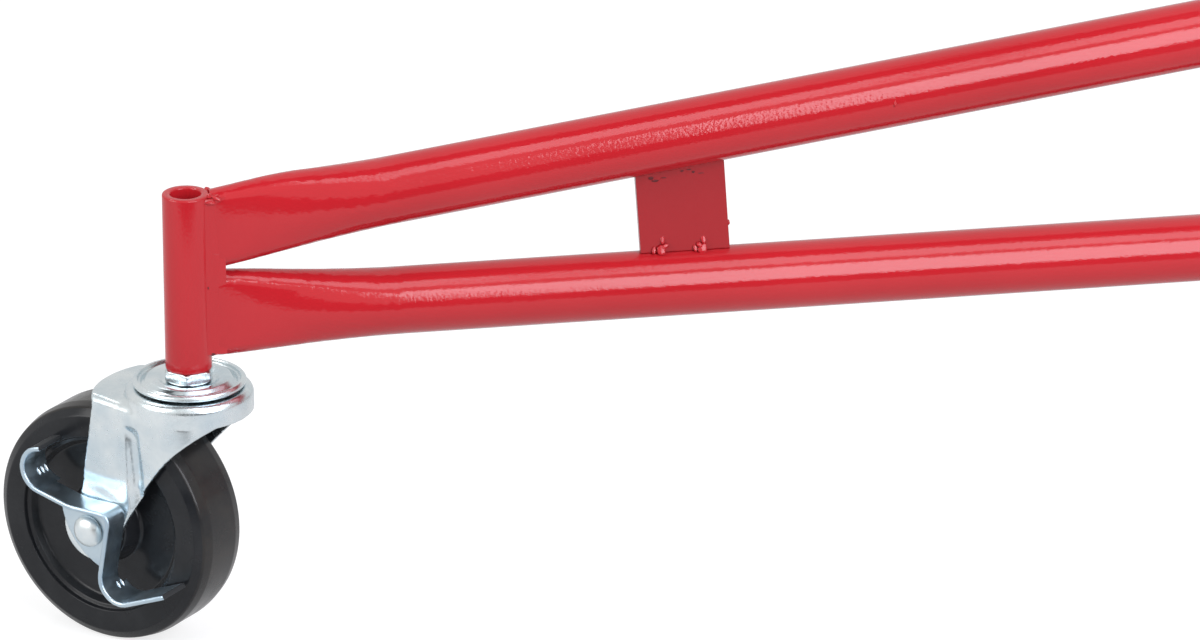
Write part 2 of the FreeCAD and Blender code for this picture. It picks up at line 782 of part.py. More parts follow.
def axle_bolt():
    """Axle with a domed head over the brake lever's web, its nut and the wheel's bush."""
    head_foot = fork_half + S.lever_sheet + 2 * S.side_play
    start = -(fork_half + S.nut_height)
    shank = rod(S.axle_radius, head_foot - start, (S.trail, start, axle_height), ALONG_Y)
    dome = S.axle_head_radius
    head = turned(
        [
            (0, 0), (dome, 0), (dome, S.axle_head / 4),
            (dome / 4, S.axle_head, S.axle_head_dome), (0, S.axle_head),
        ],
        (S.trail, head_foot, axle_height), ALONG_Y,
    )
    nut = cut(
        hexagon(S.nut_flats, S.nut_height, (S.trail, start, axle_height), ALONG_Y),
        rod(S.axle_radius, S.nut_height, (S.trail, start, axle_height), ALONG_Y),
    )
    bush = pipe(S.bush_radius, S.axle_radius, S.fork_gap, (S.trail, -S.fork_gap / 2, axle_height), ALONG_Y)
    return group(fuse(shank, head), nut, bush)


def lever_arm(runs, side):
    """One arm of the brake lever's strip, from the lever's corner to the tip of its pad.

    The arm sets out along +X and bends upwards after each run of (length, bend radius, turn). Its
    edges lie to one side of the strip's middle line: two points for a line, three for an arc.
    """
    place = Vector(float(S.lever_corner_radius) / math.tan(lever_half_angle()), 0, 0)
    spent = place.x
    heading = 0.0
    edges = []
    for length, radius, turn in runs:
        along = Vector(math.cos(heading), 0, math.sin(heading))
        upwards = Vector(-along.z, 0, along.x)
        end = place + along * (length - spent)
        edges.append([place + upwards * side, end + upwards * side])
        centre = end + upwards * radius
        angles = [heading + math.radians(turn) * share for share in (0, 0.5, 1)]
        spokes = [Vector(math.sin(angle), 0, -math.cos(angle)) for angle in angles]
        if turn:
            edges.append([centre + spoke * (radius - side) for spoke in spokes])
        place = centre + spokes[-1] * radius
        heading = angles[-1]
        spent = 0.0
    return edges


def lever_half_angle():
    """Half of the angle between the lever's two arms."""
    return math.radians(float(S.lever_angle)) / 2


def lever_corner():
    """The corner where the lever's arms meet, and the direction that halves them."""
    corner = Vector(float(S.trail) - float(S.lever_advance), 0, float(axle_height) + float(S.lever_rise))
    return corner, Vector(math.cos(lever_half_angle()), 0, -math.sin(lever_half_angle()))


def lever_path(side):
    """The brake lever's strip in the wheel's plane: edges of the rear arm, the corner and the front arm."""
    corner, inwards = lever_corner()
    inner = float(S.lever_corner_radius)
    pad_bend = float(S.pad_bend_radius)
    rear = lever_arm([
        (float(S.rear_flat), float(S.rear_bend_radius), float(S.rear_slope)),
        (float(S.rear_arm), pad_bend, float(S.rear_curl)), (float(S.rear_pad), 0, 0),
    ], side)
    ahead = lever_arm([
        (float(S.front_arm), pad_bend, float(S.front_curl)), (float(S.front_pad), 0, 0),
    ], side)
    lean = Rotation(ACROSS, float(S.lever_angle) - 90)
    rear = [[corner + point for point in edge] for edge in rear]
    front = [[corner + lean.multVec(Vector(-point.z, 0, -point.x)) for point in edge] for edge in ahead]
    knee = corner + inwards * (inner / math.sin(lever_half_angle()) - inner - side)
    return rear, [rear[0][0], knee, front[0][0]], front


def path_edge(points):
    return (Part.Arc(*points) if len(points) > 2 else Part.LineSegment(*points)).toShape()


def lever_web():
    """The lever's flat side on the axle: a sector under its rear arm, ahead of its round edge."""
    corner, inwards = lever_corner()
    rear, bend, front = lever_path(0.0)
    reach = float(S.web_radius)
    knee = rear[1][-1] - corner
    along = (rear[2][1] - rear[2][0]).normalize()
    step = math.sqrt(knee.dot(along) ** 2 - knee.dot(knee) + reach ** 2) - knee.dot(along)
    rear_end = rear[1][-1] + along * step
    front_end = corner + (front[0][1] - corner).normalize() * reach
    path = [bend, rear[0], rear[1], [rear[1][-1], rear_end], [rear_end, corner + inwards * reach, front_end],
            [front_end, front[0][0]]]
    face = Part.Face(Part.Wire(Part.__sortEdges__([path_edge(points) for points in path])))
    return face.extrude(ACROSS * float(S.lever_sheet))


def brake_lever():
    """Bent strip with a web on the axle and a foot pad at each end."""
    half = float(S.lever_sheet) / 2
    edges = []
    tips = []
    for side in (half, -half):
        rear, bend, front = lever_path(side)
        edges += [path_edge(points) for points in rear + [bend] + front]
        tips.append((rear[-1][-1], front[-1][-1]))
    edges += [path_edge(ends) for ends in zip(*tips)]
    face = Part.Face(Part.Wire(Part.__sortEdges__(edges)))
    back = float(fork_half) + float(S.side_play)
    pad_back = back + float(S.lever_width) - float(S.pad_width)
    strip = face.extrude(ACROSS * float(S.pad_width))
    strip.translate(ACROSS * pad_back)
    axle = Vector(float(S.trail), 0, float(axle_height))
    relief_foot = axle + ACROSS * pad_back
    relief = Part.makeCylinder(float(S.pad_clearance_radius), back - pad_back, relief_foot, ACROSS)
    web = lever_web()
    web.translate(ACROSS * back)
    hole = Part.makeCylinder(float(S.axle_radius + S.turning_fit), 4 * float(S.lever_sheet),
                             axle + ACROSS * (back - float(S.lever_sheet)), ACROSS)
    lever = strip.cut(relief).fuse(web).cut(hole).removeSplitter()
    return feature(lever)


def make_caster(leg, place):
    node(caster_stem(), f"{leg}_caster_stem", place)
    node(caster_cap(), f"{leg}_caster_cap", place)
    node(caster_fork(), f"{leg}_caster_fork", place)
    node(caster_wheel(), f"{leg}_caster_wheel", place)
    node(axle_bolt(), f"{leg}_axle_bolt", place)
    node(brake_lever(), f"{leg}_brake_lever", place)


# Hub: two plates that hold the leg hinges and the mast socket.

def round_axis(angle, radius):
    turn = math.radians(angle)
    return radius * math.cos(turn), radius * math.sin(turn)


def hub_plate(height):
    corners = []
    for angle in sorted(LEG_ANGLES.values()):
        centre = round_axis(angle, S.hinge_radius)
        for side, arc in ((-60, None), (60, S.lobe_radius)):
            off = round_axis(angle + side, S.lobe_radius)
            place = (centre[0] + off[0], centre[1] + off[1])
            corners.append(place + (arc,) if arc is not None else place)
    body = doc.addObject("PartDesign::Body", "HubPlate")
    pad(body, outline(body, "XY_Plane", corners), S.hub_plate)
    put(body, (0, 0, height), UP)
    holes = []
    for angle in LEG_ANGLES.values():
        x, y = round_axis(angle, S.hinge_radius)
        holes.append(rod(S.hinge_bolt_radius + S.weld_gap, S.hub_plate, (x, y, height)))
    return body, holes


def make_hub():
    floor = hub_floor - S.hub_plate
    plate, holes = hub_plate(floor)
    node(cut(plate, rod(S.drain_radius, S.hub_plate, (0, 0, floor)), *holes), "hub_bottom_plate")
    plate, holes = hub_plate(hub_ceiling)
    socket_outer = S.mast_side + 2 * (S.socket_fit + S.socket_wall)
    window_side = socket_outer + 2 * S.weld_gap
    window_corner = S.corner_radius + S.weld_gap
    window = rounded_bar(window_side, window_side, S.hub_plate, window_corner, (0, 0, hub_ceiling))
    node(cut(plate, window, *holes), "hub_top_plate")
    tube = square_tube(socket_outer, socket_outer, S.socket_wall, S.socket_height, (0, 0, hub_floor))
    screw_height = hub_floor + S.socket_height - 4 * S.clamp_screw_radius
    face = -(socket_outer / 2)
    hole_start = (face - S.socket_wall / 2, 0, screw_height)
    screw_hole = rod(S.clamp_screw_radius + S.weld_gap, S.socket_wall * 2, hole_start, ALONG_X)
    node(cut(tube, screw_hole), "mast_socket")
    node(base_bolts(face, screw_height), "base_bolts")
    for leg in ("left", "right"):
        node(star_knob(leg), f"{leg}_leg_knob")


def base_bolts(face, screw_height):
    """Hinge bolts, the rear bolt's nut and the screw that clamps the mast in its socket."""
    pieces = []
    head_floor = hub_floor - S.hub_plate - S.bolt_head_height
    for leg, angle in LEG_ANGLES.items():
        x, y = round_axis(angle, S.hinge_radius)
        thread = S.bolt_head_height if leg == "rear" else S.knob_neck + S.knob_height * 0.6
        length = hub_ceiling + S.hub_plate + thread - head_floor
        pieces.append(fuse(
            rod(S.hinge_bolt_radius, length, (x, y, head_floor)),
            hexagon(S.bolt_head_flats, S.bolt_head_height, (x, y, head_floor)),
        ))
    x, y = round_axis(LEG_ANGLES["rear"], S.hinge_radius)
    nut_floor = hub_ceiling + S.hub_plate
    pieces.append(cut(
        hexagon(S.bolt_head_flats, S.bolt_head_height, (x, y, nut_floor)),
        rod(S.hinge_bolt_radius, S.bolt_head_height, (x, y, nut_floor)),
    ))
    head = S.clamp_screw_radius * 1.6
    pieces.append(fuse(
        rod(
            S.clamp_screw_radius, S.socket_wall + S.socket_fit + head,
            (face - head, 0, screw_height), ALONG_X,
        ),
        hexagon(S.clamp_screw_radius * 3.2, head, (face - head, 0, screw_height), ALONG_X),
    ))
    return group(*pieces)


def star_knob(leg):
    """Five-lobed clamp knob on a folding leg's hinge bolt."""
    x, y = round_axis(LEG_ANGLES[leg], S.hinge_radius)
    floor = hub_ceiling + S.hub_plate + S.side_play
    neck_radius = S.knob_radius * 0.5
    neck = rod(neck_radius, S.knob_neck, (x, y, floor))
    head = rod(S.knob_radius * 0.78, S.knob_height, (x, y, floor + S.knob_neck))
    lobes = []
    for step in range(5):
        off = round_axis(step * 72, S.knob_radius * 0.7)
        lobes.append(rod(S.knob_radius * 0.3, S.knob_height, (x + off[0], y + off[1], floor + S.knob_neck)))
    bore_depth = S.knob_neck + S.knob_height * 0.6 + S.side_play
    return cut(fuse(neck, head, *lobes), rod(S.hinge_bolt_radius + S.turning_fit, bore_depth, (x, y, floor)))


# Mast: three square sections that slide in each other, with a collar and glide liner on each mouth.

def mast_collar(tube_side, tube_wall, inner_side, height):
    flange_side = tube_side + 2 * S.collar_lip
    mouth = inner_side + 2 * S.glide_fit
    liner_side = tube_side - 2 * (tube_wall + S.weld_gap)
    flange_corner = S.corner_radius + S.collar_lip
    flange = rounded_bar(flange_side, flange_side, S.collar_flange, flange_corner, (0, 0, height))
    liner_corner = S.corner_radius - tube_wall
    liner = rounded_bar(liner_side, liner_side, S.liner_depth, liner_corner, (0, 0, height - S.liner_depth))
    opening_depth = S.liner_depth + S.collar_flange
    mouth_corner = S.corner_radius + S.glide_fit
    opening = rounded_bar(mouth, mouth, opening_depth, mouth_corner, (0, 0, height - S.liner_depth))
    return cut(fuse(flange, liner), opening)


def make_mast():
    tube = square_tube(S.mast_side, S.mast_side, S.mast_wall, S.mast_length, (0, 0, hub_floor))
    node(tube, "mast_outer")
    middle_floor = hub_floor + S.section_step
    middle_length = middle_top - middle_floor
    tube = square_tube(S.middle_side, S.middle_side, S.middle_wall, middle_length, (0, 0, middle_floor))
    node(tube, "mast_middle")
    inner_floor = middle_floor + S.section_step
    tube = square_tube(S.inner_side, S.inner_side, S.inner_wall, inner_top - inner_floor, (0, 0, inner_floor))
    node(tube, "mast_inner")
    node(mast_collar(S.mast_side, S.mast_wall, S.middle_side, mast_top), "mast_lower_collar")
    node(mast_collar(S.middle_side, S.middle_wall, S.inner_side, middle_top), "mast_upper_collar")


# Winch: a bent bracket on the mast's rear face carries the drum, brake disc and hand wheel.

def make_winch():
    node(winch_bracket(), "winch_bracket")
    node(winch_drum(), "winch_drum")
    node(winch_brake(), "winch_brake_lever")
    node(hand_wheel(), "hand_wheel")
    node(wheel_grip(), "hand_wheel_grip")


def winch_bracket():
    face = -(S.mast_side / 2)
    nose = S.drum_flange_radius * 0.5
    root = S.drum_flange_radius
    height = S.winch_height
    corners = [
        (face, height - root), (face, height + root), (face - S.winch_plate * 2, height + root),
        (drum_axis_x, height + nose), (drum_axis_x, height - nose, nose),
        (face - S.winch_plate * 2, height - root),
    ]
    width = 2 * (winch_half + S.winch_plate)
    slab = profile_plate(corners, width)
    room_x = face - S.winch_plate
    reach = S.winch_offset + root
    room = block(reach, 2 * winch_half, 4 * root, (room_x - reach / 2, 0, height - 2 * root))
    hole = rod(S.shaft_radius + S.turning_fit, 2 * width, (drum_axis_x, -width, height), ALONG_Y)
    pivot = brake_pivot()
    pin_start = (pivot[0], -(winch_half + S.winch_plate) - disc_room(), pivot[1])
    pivot_pin = rod(S.hook_pin_radius, disc_room(), pin_start, ALONG_Y)
    return fuse(cut(slab, room, hole), pivot_pin)


def disc_room():
    return S.disc_thickness + 2 * S.side_play


def brake_pivot():
    """The brake lever turns on a pin at the bracket's lower root, beside the disc."""
    return -(S.mast_side / 2 + S.hook_eye_radius + S.brake_gap), S.winch_height - S.drum_flange_radius * 0.75


def winch_drum():
    """Drum with its flanges, on a shaft that also carries the brake disc."""
    half = S.drum_width / 2
    edge = half + S.drum_flange
    shaft = S.shaft_radius
    drum = turned([
        (shaft, -edge), (S.drum_flange_radius, -edge), (S.drum_flange_radius, -half), (S.drum_radius, -half),
        (S.drum_radius, half), (S.drum_flange_radius, half), (S.drum_flange_radius, edge), (shaft, edge),
    ], (drum_axis_x, 0, S.winch_height), ALONG_Y)
    disc_near = winch_half + S.winch_plate + S.side_play
    disc_far = disc_near + S.disc_thickness
    near = disc_far + S.shaft_radius
    wheel_foot = winch_half + S.winch_plate + S.side_play
    far = wheel_foot + S.wheel_boss_length
    spindle = turned([
        (0, -near), (shaft, -near), (shaft, -disc_far),
        (S.disc_radius, -disc_far), (S.disc_radius, -disc_near),
        (shaft, -disc_near), (shaft, far), (0, far),
    ], (drum_axis_x, 0, S.winch_height), ALONG_Y)
    return group(drum, spindle)


def winch_brake():
    """Lever with a shoe that follows the brake disc's edge."""
    pivot_x, pivot_z = brake_pivot()
    outer = -(winch_half + S.winch_plate + S.side_play)
    eye = rod(S.hook_eye_radius, S.disc_thickness, (pivot_x, outer - S.disc_thickness, pivot_z), ALONG_Y)
    tall = S.hook_eye_radius
    handle = profile_plate([
        (pivot_x, pivot_z - tall), (pivot_x, pivot_z + tall * 0.5),
        (drum_axis_x, S.winch_height - S.disc_radius * 0.6), (pivot_x - S.brake_arm, pivot_z - tall * 1.6),
        (pivot_x - S.brake_arm, pivot_z - tall * 3.2, S.brake_arm),
    ], S.disc_thickness, (0, outer - S.disc_thickness / 2, 0))
    clear = rod(S.disc_radius + S.brake_gap, 4 * S.disc_thickness,
                (drum_axis_x, outer - 3 * S.disc_thickness, S.winch_height), ALONG_Y)
    bore_start = (pivot_x, outer - 3 * S.disc_thickness, pivot_z)
    bore = rod(S.hook_pin_radius + S.turning_fit, 4 * S.disc_thickness, bore_start, ALONG_Y)
    return cut(fuse(eye, handle), clear, bore)


def hand_wheel_plane():
    return winch_half + S.winch_plate + S.side_play + S.wheel_boss_length / 2


def hand_wheel():
    """Spoked wheel with a boss on the shaft and a pin for the grip."""
    middle = hand_wheel_plane()
    ring = doc.addObject("Part::Torus", "Rim")
    bind(ring, "Radius1", S.hand_wheel_radius)
    bind(ring, "Radius2", S.rim_radius)
    put(ring, (drum_axis_x, middle, S.winch_height), ALONG_Y)
    boss_foot = middle - S.wheel_boss_length / 2
    boss = rod(S.wheel_boss_radius, S.wheel_boss_length, (drum_axis_x, boss_foot, S.winch_height), ALONG_Y)
    spoke_foot = (drum_axis_x, middle, S.winch_height - S.hand_wheel_radius)
    upright = rod(S.spoke_radius, 2 * S.hand_wheel_radius, spoke_foot)
    level = rod(S.spoke_radius, 2 * S.hand_wheel_radius,
                (drum_axis_x - S.hand_wheel_radius, middle, S.winch_height), ALONG_X)
    pin_x, pin_z = grip_axis()
    pin_length = S.rim_radius + S.grip_length + 2 * S.side_play
    pin = rod(S.grip_pin_radius, pin_length, (pin_x, middle, pin_z), ALONG_Y)
    shaft_hole = rod(S.shaft_radius, S.wheel_boss_length, (drum_axis_x, boss_foot, S.winch_height), ALONG_Y)
    return cut(fuse(ring, boss, upright, level, pin), shaft_hole)


def grip_axis():
    off_x, off_z = round_axis(45, S.hand_wheel_radius)
    return drum_axis_x - off_x, S.winch_height + off_z


def wheel_grip():
    pin_x, pin_z = grip_axis()
    bore = S.grip_pin_radius + S.turning_fit
    foot = hand_wheel_plane() + S.rim_radius + S.side_play
    slim = S.grip_radius * 0.72
    body = turned([
        (bore, 0), (slim, 0), (S.grip_radius, S.grip_length * 0.4, S.grip_length),
        (slim, S.grip_length - S.corner_radius, S.grip_length),
        (slim - S.corner_radius / 2, S.grip_length, S.corner_radius),
        (bore, S.grip_length),
    ], (pin_x, foot, pin_z), ALONG_Y)
    return body


# Head and cradle: the yoke stands in the inner section and carries the tilting beam and its arms.

def make_cradle():
    node(head_yoke(), "head_yoke")
    node(tilt_pin(), "tilt_pin")
    node(cradle_beam(), "cradle_beam")
    for arm, side in (("front", 1), ("rear", -1)):
        node(cross_arm(side), f"{arm}_cross_arm")
        for end, way in (("left", 1), ("right", -1)):
            node(arm_extension(side, way), f"{arm}_{end}_extension")
    for end, way in (("left", 1), ("right", -1)):
        node(panel_hook(way), f"{end}_panel_hook")


def cheek_inner():
    return S.beam_width / 2 + S.cheek_play


def head_yoke():
    """Plate and spigot with two cheeks that take the tilt pin, and a stop for the level beam."""
    half = cheek_inner() + S.cheek
    back = S.mast_side / 2
    plate = rounded_bar(2 * half, 2 * half, S.yoke_plate, S.corner_radius, (0, 0, inner_top))
    spigot_side = S.inner_side - 2 * (S.inner_wall + S.glide_fit)
    spigot_corner = S.corner_radius - S.inner_wall
    spigot_foot = (0, 0, inner_top - S.spigot_depth)
    spigot = rounded_bar(spigot_side, spigot_side, S.spigot_depth, spigot_corner, spigot_foot)
    eye = S.pin_eye_radius
    cheeks = []
    for way in (1, -1):
        cheeks.append(profile_plate([
            (-back, yoke_top), (back, yoke_top),
            (S.pin_offset, pin_axis - eye), (S.pin_offset, pin_axis + eye, eye),
            (S.pin_offset - eye, beam_floor), (-back, beam_floor),
        ], S.cheek, (0, way * (cheek_inner() + S.cheek / 2), 0)))
    stop_top = beam_floor - S.rest_gap
    stop = block(S.cheek * 2, 2 * cheek_inner(), stop_top - yoke_top, (S.cheek - back, 0, yoke_top))
    hole = rod(S.pin_radius + S.turning_fit, 4 * half, (S.pin_offset, -2 * half, pin_axis), ALONG_Y)
    return cut(fuse(plate, spigot, stop, *cheeks), hole)


def tilt_pin():
    half = cheek_inner() + S.cheek
    flats = S.pin_radius * 3
    head = S.pin_radius * 1.3
    foot = half + S.weld_gap
    shank = rod(S.pin_radius, 2 * foot + head, (S.pin_offset, -foot, pin_axis), ALONG_Y)
    nut = cut(
        hexagon(flats, head, (S.pin_offset, foot, pin_axis), ALONG_Y),
        rod(S.pin_radius, head, (S.pin_offset, foot, pin_axis), ALONG_Y),
    )
    return group(fuse(shank, hexagon(flats, head, (S.pin_offset, -foot - head, pin_axis), ALONG_Y)), nut)


def cradle_beam():
    """Box beam with two lugs that turn on the tilt pin."""
    beam = square_tube(S.beam_height, S.beam_width, S.beam_wall, S.beam_length,
                       (-(S.beam_length / 2), 0, beam_floor + S.beam_height / 2), ALONG_X)
    eye = S.pin_eye_radius * 0.85
    root = S.pin_eye_radius * 1.6
    lugs = []
    for way in (1, -1):
        lugs.append(profile_plate([
            (S.pin_offset - root, beam_floor), (S.pin_offset - eye, pin_axis),
            (S.pin_offset + eye, pin_axis, eye),
            (S.pin_offset + root, beam_floor),
        ], S.lug, (0, way * (S.beam_width / 2 - S.corner_radius - S.lug / 2), 0)))
    hole_start = (S.pin_offset, -(S.beam_width / 2), pin_axis)
    hole = rod(S.pin_radius + S.turning_fit, S.beam_width, hole_start, ALONG_Y)
    return cut(fuse(beam, *lugs), hole)


def arm_x(side):
    return side * (S.arm_spread / 2)


def cross_arm(side):
    """Square arm across the beam's end; the front one has the hooks' lugs and pins."""
    arm = square_tube(S.arm_side, S.arm_side, S.arm_wall, S.arm_length,
                      (arm_x(side), -(S.arm_length / 2), beam_top + S.arm_side / 2), ALONG_Y)
    if side < 0:
        return arm
    pieces = [arm]
    pin_x, pin_z = hook_axis()
    face = arm_x(side) + S.arm_side / 2
    span = S.hook_width + 2 * (S.side_play + S.hook_lug)
    eye = S.hook_eye_radius
    for way in (1, -1):
        middle = way * (S.hook_spread / 2)
        for lug in (1, -1):
            off = S.hook_width / 2 + S.side_play + S.hook_lug / 2
            pieces.append(profile_plate([
                (face, pin_z - eye), (pin_x, pin_z - eye), (pin_x, pin_z + eye, eye), (face, pin_z + eye),
            ], S.hook_lug, (0, middle + lug * off, 0)))
        pieces.append(rod(S.hook_pin_radius, span, (pin_x, middle - span / 2, pin_z), ALONG_Y))
    return fuse(*pieces)


def hook_axis():
    face = arm_x(1) + S.arm_side / 2
    return face + S.hook_eye_radius + S.rest_gap, beam_top + S.arm_side / 2


def panel_hook(way):
    """Folding hook that stands above the arm and holds the panel's edge."""
    pin_x, pin_z = hook_axis()
    eye_radius = S.hook_eye_radius
    middle = way * (S.hook_spread / 2)
    eye = rod(eye_radius, S.hook_width, (pin_x, middle - S.hook_width / 2, pin_z), ALONG_Y)
    tip = arm_top + S.hook_reach
    inner = pin_x + eye_radius - S.hook_sheet
    lip = S.hook_sheet * 2
    finger = profile_plate([
        (inner, pin_z), (pin_x + eye_radius, pin_z), (pin_x + eye_radius, tip - lip),
        (pin_x + eye_radius + lip, tip), (inner + lip, tip), (inner, tip - lip),
    ], S.hook_width, (0, middle, 0))
    bore_start = (pin_x, middle - S.hook_width, pin_z)
    bore = rod(S.hook_pin_radius + S.turning_fit, 2 * S.hook_width, bore_start, ALONG_Y)
    return cut(fuse(eye, finger), bore)


def arm_extension(side, way):
    """Square bar that slides in a cross arm, with a cap on its outer end."""
    end = S.arm_length / 2 + S.extension_out
    wall = S.arm_wall
    height = beam_top + S.arm_side / 2
    start = end - S.extension_length
    foot = start if way > 0 else -end
    side_length = S.extension_side
    start = (arm_x(side), foot, height)
    bar = square_tube(side_length, side_length, wall, S.extension_length, start, ALONG_Y)
    cap_foot_y = end if way > 0 else -end - S.extension_cap
    cap = rounded_bar(S.extension_side, S.extension_side, S.extension_cap, S.corner_radius,
                      (arm_x(side), cap_foot_y, height), ALONG_Y)
    return fuse(bar, cap)


for leg_name, leg_angle in LEG_ANGLES.items():
    make_leg(leg_name, leg_angle)
make_hub()
make_mast()
make_winch()
make_cradle()
doc.recompute()

faults = [thing.Label for thing in doc.Objects if "Invalid" in thing.State or "Error" in thing.State]
for part in nodes:
    if part.Shape.isNull() or not part.Shape.isValid() or not part.Shape.Solids:
        faults.append(part.Label)
if faults:
    raise RuntimeError("failed: " + ", ".join(sorted(set(faults))))

os.makedirs("parts", exist_ok=True)
for part in nodes:
    part.Shape.exportStep(f"parts/{part.Label}.step")
    print(part.Label, len(part.Shape.Solids), round(part.Shape.Volume / 1000, 2))
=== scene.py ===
import json
import math

import bmesh
import bpy
from mathutils import Matrix, Vector, noise


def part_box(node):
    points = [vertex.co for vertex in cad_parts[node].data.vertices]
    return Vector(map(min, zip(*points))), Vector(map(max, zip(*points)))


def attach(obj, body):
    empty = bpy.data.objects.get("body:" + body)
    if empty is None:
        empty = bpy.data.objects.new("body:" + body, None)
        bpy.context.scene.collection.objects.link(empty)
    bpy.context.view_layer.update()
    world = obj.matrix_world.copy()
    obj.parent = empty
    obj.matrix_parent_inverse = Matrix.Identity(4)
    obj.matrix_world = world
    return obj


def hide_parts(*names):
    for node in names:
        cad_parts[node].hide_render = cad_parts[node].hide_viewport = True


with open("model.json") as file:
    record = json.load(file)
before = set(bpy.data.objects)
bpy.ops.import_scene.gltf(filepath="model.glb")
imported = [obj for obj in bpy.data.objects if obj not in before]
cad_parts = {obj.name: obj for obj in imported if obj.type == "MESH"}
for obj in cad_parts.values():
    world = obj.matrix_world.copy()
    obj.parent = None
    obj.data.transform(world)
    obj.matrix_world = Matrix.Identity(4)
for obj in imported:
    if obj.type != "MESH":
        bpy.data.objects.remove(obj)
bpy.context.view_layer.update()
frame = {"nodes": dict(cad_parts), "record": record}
nodes = frame["nodes"]
print("frame:", len(nodes), "nodes")

# where the legs and casters stand, in metres and degrees
layout = {
    "legAngles": {"rear": 180.0, "left": 60.0, "right": -60.0},
    "swivelRadius": 0.640,
    "casterHeading": 138.0,
    "trail": 0.0345,
    "axleHeight": 0.050,
}
legBodies = {"rear": "base", "left": "left_leg", "right": "right_leg"}


def swivelFrame(leg, heading):  # stands at a leg's swivel and faces the heading
    angle = math.radians(layout["legAngles"][leg])
    swivel = Vector((math.cos(angle), math.sin(angle), 0)) * layout["swivelRadius"]
    return Matrix.Translation(swivel) @ Matrix.Rotation(math.radians(heading), 4, "Z")


def legPlace(leg):
    return swivelFrame(leg, layout["legAngles"][leg] + 180)


def casterPlace(leg):
    return swivelFrame(leg, layout["casterHeading"])


# finishes

def newFinish(name, metallic, roughness, baseColour):
    finish = bpy.data.materials.new(name)
    finish.use_nodes = True
    tree = finish.node_tree
    shader = tree.nodes["Principled BSDF"]
    shader.inputs["Metallic"].default_value = metallic
    shader.inputs["Roughness"].default_value = roughness
    shader.inputs["Base Color"].default_value = (*baseColour, 1)
    coords = tree.nodes.new("ShaderNodeTexCoord").outputs["Object"]
    return finish, tree, shader, coords


def noiseField(tree, coords, scale, detail, rough=0.5):
    texture = tree.nodes.new("ShaderNodeTexNoise")
    texture.inputs["Scale"].default_value = scale
    texture.inputs["Detail"].default_value = detail
    texture.inputs["Roughness"].default_value = rough
    tree.links.new(coords, texture.inputs["Vector"])
    return texture.outputs["Fac"]


def setColour(tree, shader, fac, stops):  # colour that follows a field, from stop to stop
    ramp = tree.nodes.new("ShaderNodeValToRGB")
    elements = ramp.color_ramp.elements
    while len(elements) < len(stops):
        elements.new(0.5)
    for element, (place, colour) in zip(elements, stops):
        element.position = place
        element.color = (*colour, 1)
    tree.links.new(fac, ramp.inputs["Fac"])
    tree.links.new(ramp.outputs["Color"], shader.inputs["Base Color"])


noiseSpan = (0.3, 0.7)  # most of a noise field lies between these


def setSheen(tree, shader, fac, low, high):  # roughness that follows a field
    ranged = tree.nodes.new("ShaderNodeMapRange")
    ranged.inputs["From Min"].default_value = noiseSpan[0]
    ranged.inputs["From Max"].default_value = noiseSpan[1]
    ranged.inputs["To Min"].default_value = low
    ranged.inputs["To Max"].default_value = high
    tree.links.new(fac, ranged.inputs["Value"])
    tree.links.new(ranged.outputs["Result"], shader.inputs["Roughness"])


def relief(tree, height, strength, distance, normal):
    bump = tree.nodes.new("ShaderNodeBump")
    bump.inputs["Strength"].default_value = strength
    bump.inputs["Distance"].default_value = distance
    tree.links.new(height, bump.inputs["Height"])
    tree.links.new(normal, bump.inputs["Normal"])
    return bump.outputs["Normal"]


def softEdge(tree, radius):
    edge = tree.nodes.new("ShaderNodeBevel")
    edge.samples = 4
    edge.inputs["Radius"].default_value = radius
    return edge.outputs["Normal"]


def setGrain(tree, shader, fac, look):  # fine relief over rounded edges
    normal = relief(tree, fac, look["grain"], look["grainDepth"], softEdge(tree, look["edge"]))
    tree.links.new(normal, shader.inputs["Normal"])


paintLook = {
    "deep": (0.440, 0.013, 0.019), "full": (0.494, 0.017, 0.024), "patchScale": 7.0, "patches": (0.32, 0.62),
    "sheenScale": 34.0, "sheen": (0.06, 0.13), "waveScale": 130.0, "wave": 0.05, "waveDepth": 0.0005,
    "peelScale": 780.0, "peel": 0.19, "peelDepth": 0.0003, "edge": 0.0006,
}


def redPaint(name, shine, depth):
    look = paintLook
    # depth below 1 scales the red darker, which is painted shade
    deep = [depth * part for part in look["deep"]]
    full = [depth * part for part in look["full"]]
    finish, tree, shader, coords = newFinish(name, 0.0, 0.16, full)
    shader.inputs["Specular IOR Level"].default_value = shine
    patches = noiseField(tree, coords, look["patchScale"], 3.0)
    setColour(tree, shader, patches, list(zip(look["patches"], (deep, full))))
    setSheen(tree, shader, noiseField(tree, coords, look["sheenScale"], 4.0), *look["sheen"])
    waveField = noiseField(tree, coords, look["waveScale"], 1.0)
    waves = relief(tree, waveField, look["wave"], look["waveDepth"], softEdge(tree, look["edge"]))
    peelField = noiseField(tree, coords, look["peelScale"], 2.0)
    peel = relief(tree, peelField, look["peel"], look["peelDepth"], waves)
    tree.links.new(peel, shader.inputs["Normal"])
    return finish


zincLook = {
    "blue": (0.56, 0.65, 0.70), "pale": (0.80, 0.84, 0.84), "slate": (0.38, 0.50, 0.60),
    "cloudScale": 42.0, "clouds": (0.30, 0.66), "sheenScale": 160.0,
    "grainScale": 900.0, "grain": 0.06, "grainDepth": 0.0002, "edge": 0.0005,
}


def zincPlate(name, dark, light, smooth, rough):
    look = zincLook
    finish, tree, shader, coords = newFinish(name, 1.0, 0.22, look[light])
    clouds = noiseField(tree, coords, look["cloudScale"], 4.0, 0.6)
    setColour(tree, shader, clouds, list(zip(look["clouds"], (look[dark], look[light]))))
    setSheen(tree, shader, noiseField(tree, coords, look["sheenScale"], 4.0, 0.65), smooth, rough)
    setGrain(tree, shader, noiseField(tree, coords, look["grainScale"], 3.0), look)
    return finish


